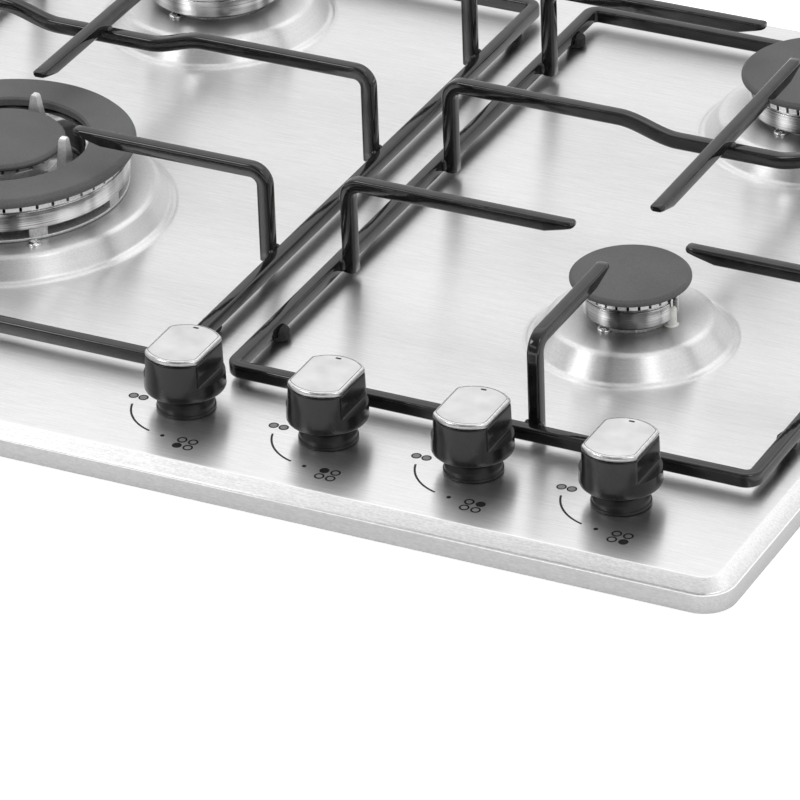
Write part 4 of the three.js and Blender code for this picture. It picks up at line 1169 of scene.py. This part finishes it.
def add_marks(name):
    x, y = MARKS[name]
    black = Shape()
    disc(black, x, y - 27.5, 1.05)
    for sx in (-1, 1):
        for sy in (-1, 1):
            px, py = x + GROUP[0] + sx * GROUP_STEP[0], y + GROUP[1] + sy * GROUP_STEP[1]
            if (sx, sy) == FILLED[name]:
                disc(black, px, py, 2.25)
            else:
                circle_line(black, px, py, 1.95, 0.85)
    circle_line(black, x, y, ARC_RADIUS, 1.0, a0=196, a1=254)
    for px in FLAMES_X:
        circle_line(black, x + px, y + FLAMES_Y, 2.0, 0.7)
    black.make(f"marks_{name}", INK, "hob", ())
    grey = Shape()
    for px in FLAMES_X:
        disc(grey, x + px, y + FLAMES_Y, 1.9, FIELD + 0.03)
    grey.make(f"flame_marks_{name}", GREY_INK, "hob", ())


# ---------------- build

make_panel()
for burner in BURNERS:
    if burner == "front_left":
        add_large_burner()
    else:
        add_crown(burner)
        add_cap(burner)
    add_electrode(burner)
    add_knob(burner)
    add_collar(burner)
    add_marks(burner)
add_screws()
add_support("right", 9.5, 272, -177.3, 217.5, RIGHT_X, FINGER_GAP, FINGER_GAP, 0)
add_support("left", -274.8, -12.3, -182.6, 212.2, LEFT_X, 43.5, 38, -5.3)

LOOKS = {
    "under_box": SHEET_METAL,
    "worktop_seal": FOAM,
    "gas_manifold": ZINC,
    "igniter_module": CASE,
    "burner_cup": CAST,
    "spindle": ZINC,
    "valve_plug": BRASS,
    "valve": BRASS,
    "gas_pipe": PIPE,
    "left_grate_foot": RUBBER,
    "right_grate_foot": RUBBER,
}
for node_name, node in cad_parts.items():
    for start in sorted(LOOKS, key=len, reverse=True):
        if node_name.startswith(start):
            for material_slot in node.material_slots:
                material_slot.material = LOOKS[start]
            break

# ---------------- surroundings


def add_worktop():
    """A pale surface round the cut-out that the cooktop is let into."""
    size, hole = 4.0, (0.562, 0.484)
    z = BOX_DEPTH * MM - 0.0004
    corners = ((1, 1), (-1, 1), (-1, -1), (1, -1))
    outer = [Vector((x * size, y * size, z)) for x, y in corners]
    inner = [Vector((x * hole[0] / 2, y * hole[1] / 2, z)) for x, y in corners]
    faces = [tuple(t) for t in tessellate_polygon([outer, inner])]
    mesh = bpy.data.meshes.new("worktop")
    mesh.from_pydata([tuple(p) for p in outer + inner], [], faces)
    top = Nodes("pale_surface")
    cloud = top.noise(top.mapping((3, 3, 3)))
    top.set(base_color=top.ramp(cloud, 0.92, 0.94), roughness=0.9, specular_ior_level=0.0)
    top.set(emission_color=(1, 1, 1, 1), emission_strength=0.5)
    mesh.materials.append(top.material)
    floor = bpy.data.objects.new("worktop", mesh)
    bpy.context.scene.collection.objects.link(floor)


def add_light(name, place, target, size, power):
    data = bpy.data.lights.new(name, "AREA")
    data.shape = "RECTANGLE"
    data.size, data.size_y = size
    data.energy = power
    data.spread = math.radians(180)
    lamp = bpy.data.objects.new(name, data)
    lamp.location = place
    aim = Vector(target) - Vector(place)
    lamp.rotation_euler = aim.to_track_quat("-Z", "Y").to_euler()
    bpy.context.scene.collection.objects.link(lamp)


def add_world():
    world = bpy.data.worlds.new("studio")
    bpy.context.scene.world = world
    world.use_nodes = True
    tree = world.node_tree
    tree.nodes.clear()
    out = tree.nodes.new("ShaderNodeOutputWorld")
    background = tree.nodes.new("ShaderNodeBackground")
    background.inputs["Color"].default_value = (1, 1, 1, 1)
    # A studio that is bright behind the object and dimmer above and in front of it.
    way = tree.nodes.new("ShaderNodeTexCoord")
    facing = tree.nodes.new("ShaderNodeVectorMath")
    facing.operation = "DOT_PRODUCT"
    facing.inputs[1].default_value = (-0.2, -0.9, 0.39)
    tree.links.new(way.outputs["Generated"], facing.inputs[0])
    fade = tree.nodes.new("ShaderNodeMapRange")
    set_range(fade, 1.03, 0.22, 0.30, 0.92)
    tree.links.new(facing.outputs["Value"], fade.inputs["Value"])
    tree.links.new(fade.outputs[0], background.inputs["Strength"])
    tree.links.new(background.outputs[0], out.inputs["Surface"])


def add_camera():
    """The photo's view: a long lens from the front right, fitted to the panel and supports."""
    focal, image, sensor = 6670.3, 800, 36  # the photo's focal length and width in pixels, and mm
    distance = 3.0261
    azimuth, elevation, roll = math.radians(27.25), math.radians(29.73), math.radians(-2.12)
    target = Vector((79.2, -139.1, BOX_DEPTH)) * MM
    back = Vector((
        math.sin(azimuth) * math.cos(elevation),
        -math.cos(azimuth) * math.cos(elevation),
        math.sin(elevation),
    ))
    right = Vector((math.cos(azimuth), math.sin(azimuth), 0))
    up = back.cross(right)
    across = right * math.cos(roll) + up * math.sin(roll)
    upright = up * math.cos(roll) - right * math.sin(roll)
    data = bpy.data.cameras.new("camera")
    data.sensor_width = sensor
    data.sensor_fit = "HORIZONTAL"
    data.lens = focal / image * sensor
    data.clip_end = 50
    camera = bpy.data.objects.new("camera", data)
    turn = Matrix((across, upright, back)).transposed().to_4x4()
    camera.matrix_world = Matrix.Translation(target + back * distance) @ turn
    bpy.context.scene.collection.objects.link(camera)
    bpy.context.scene.camera = camera


add_worktop()
add_world()
add_camera()
add_light("overhead", (-0.4, 0.9, 1.8), (0, 0, 0.05), (3.2, 1.2), 8)
add_light("left_front", (-0.85, -1.06, 1.18), (0, 0, 0.05), (0.5, 0.5), 5)
add_light("low_front", (-0.9, -1.8, 1.0), (0, -0.2, 0.05), (1.8, 0.3), 2)
add_light("right_front", (1.1, -0.79, 1.42), (0, 0, 0.05), (0.45, 0.45), 3)
view = bpy.context.scene.view_settings
view.view_transform = "Standard"
view.look = "None"
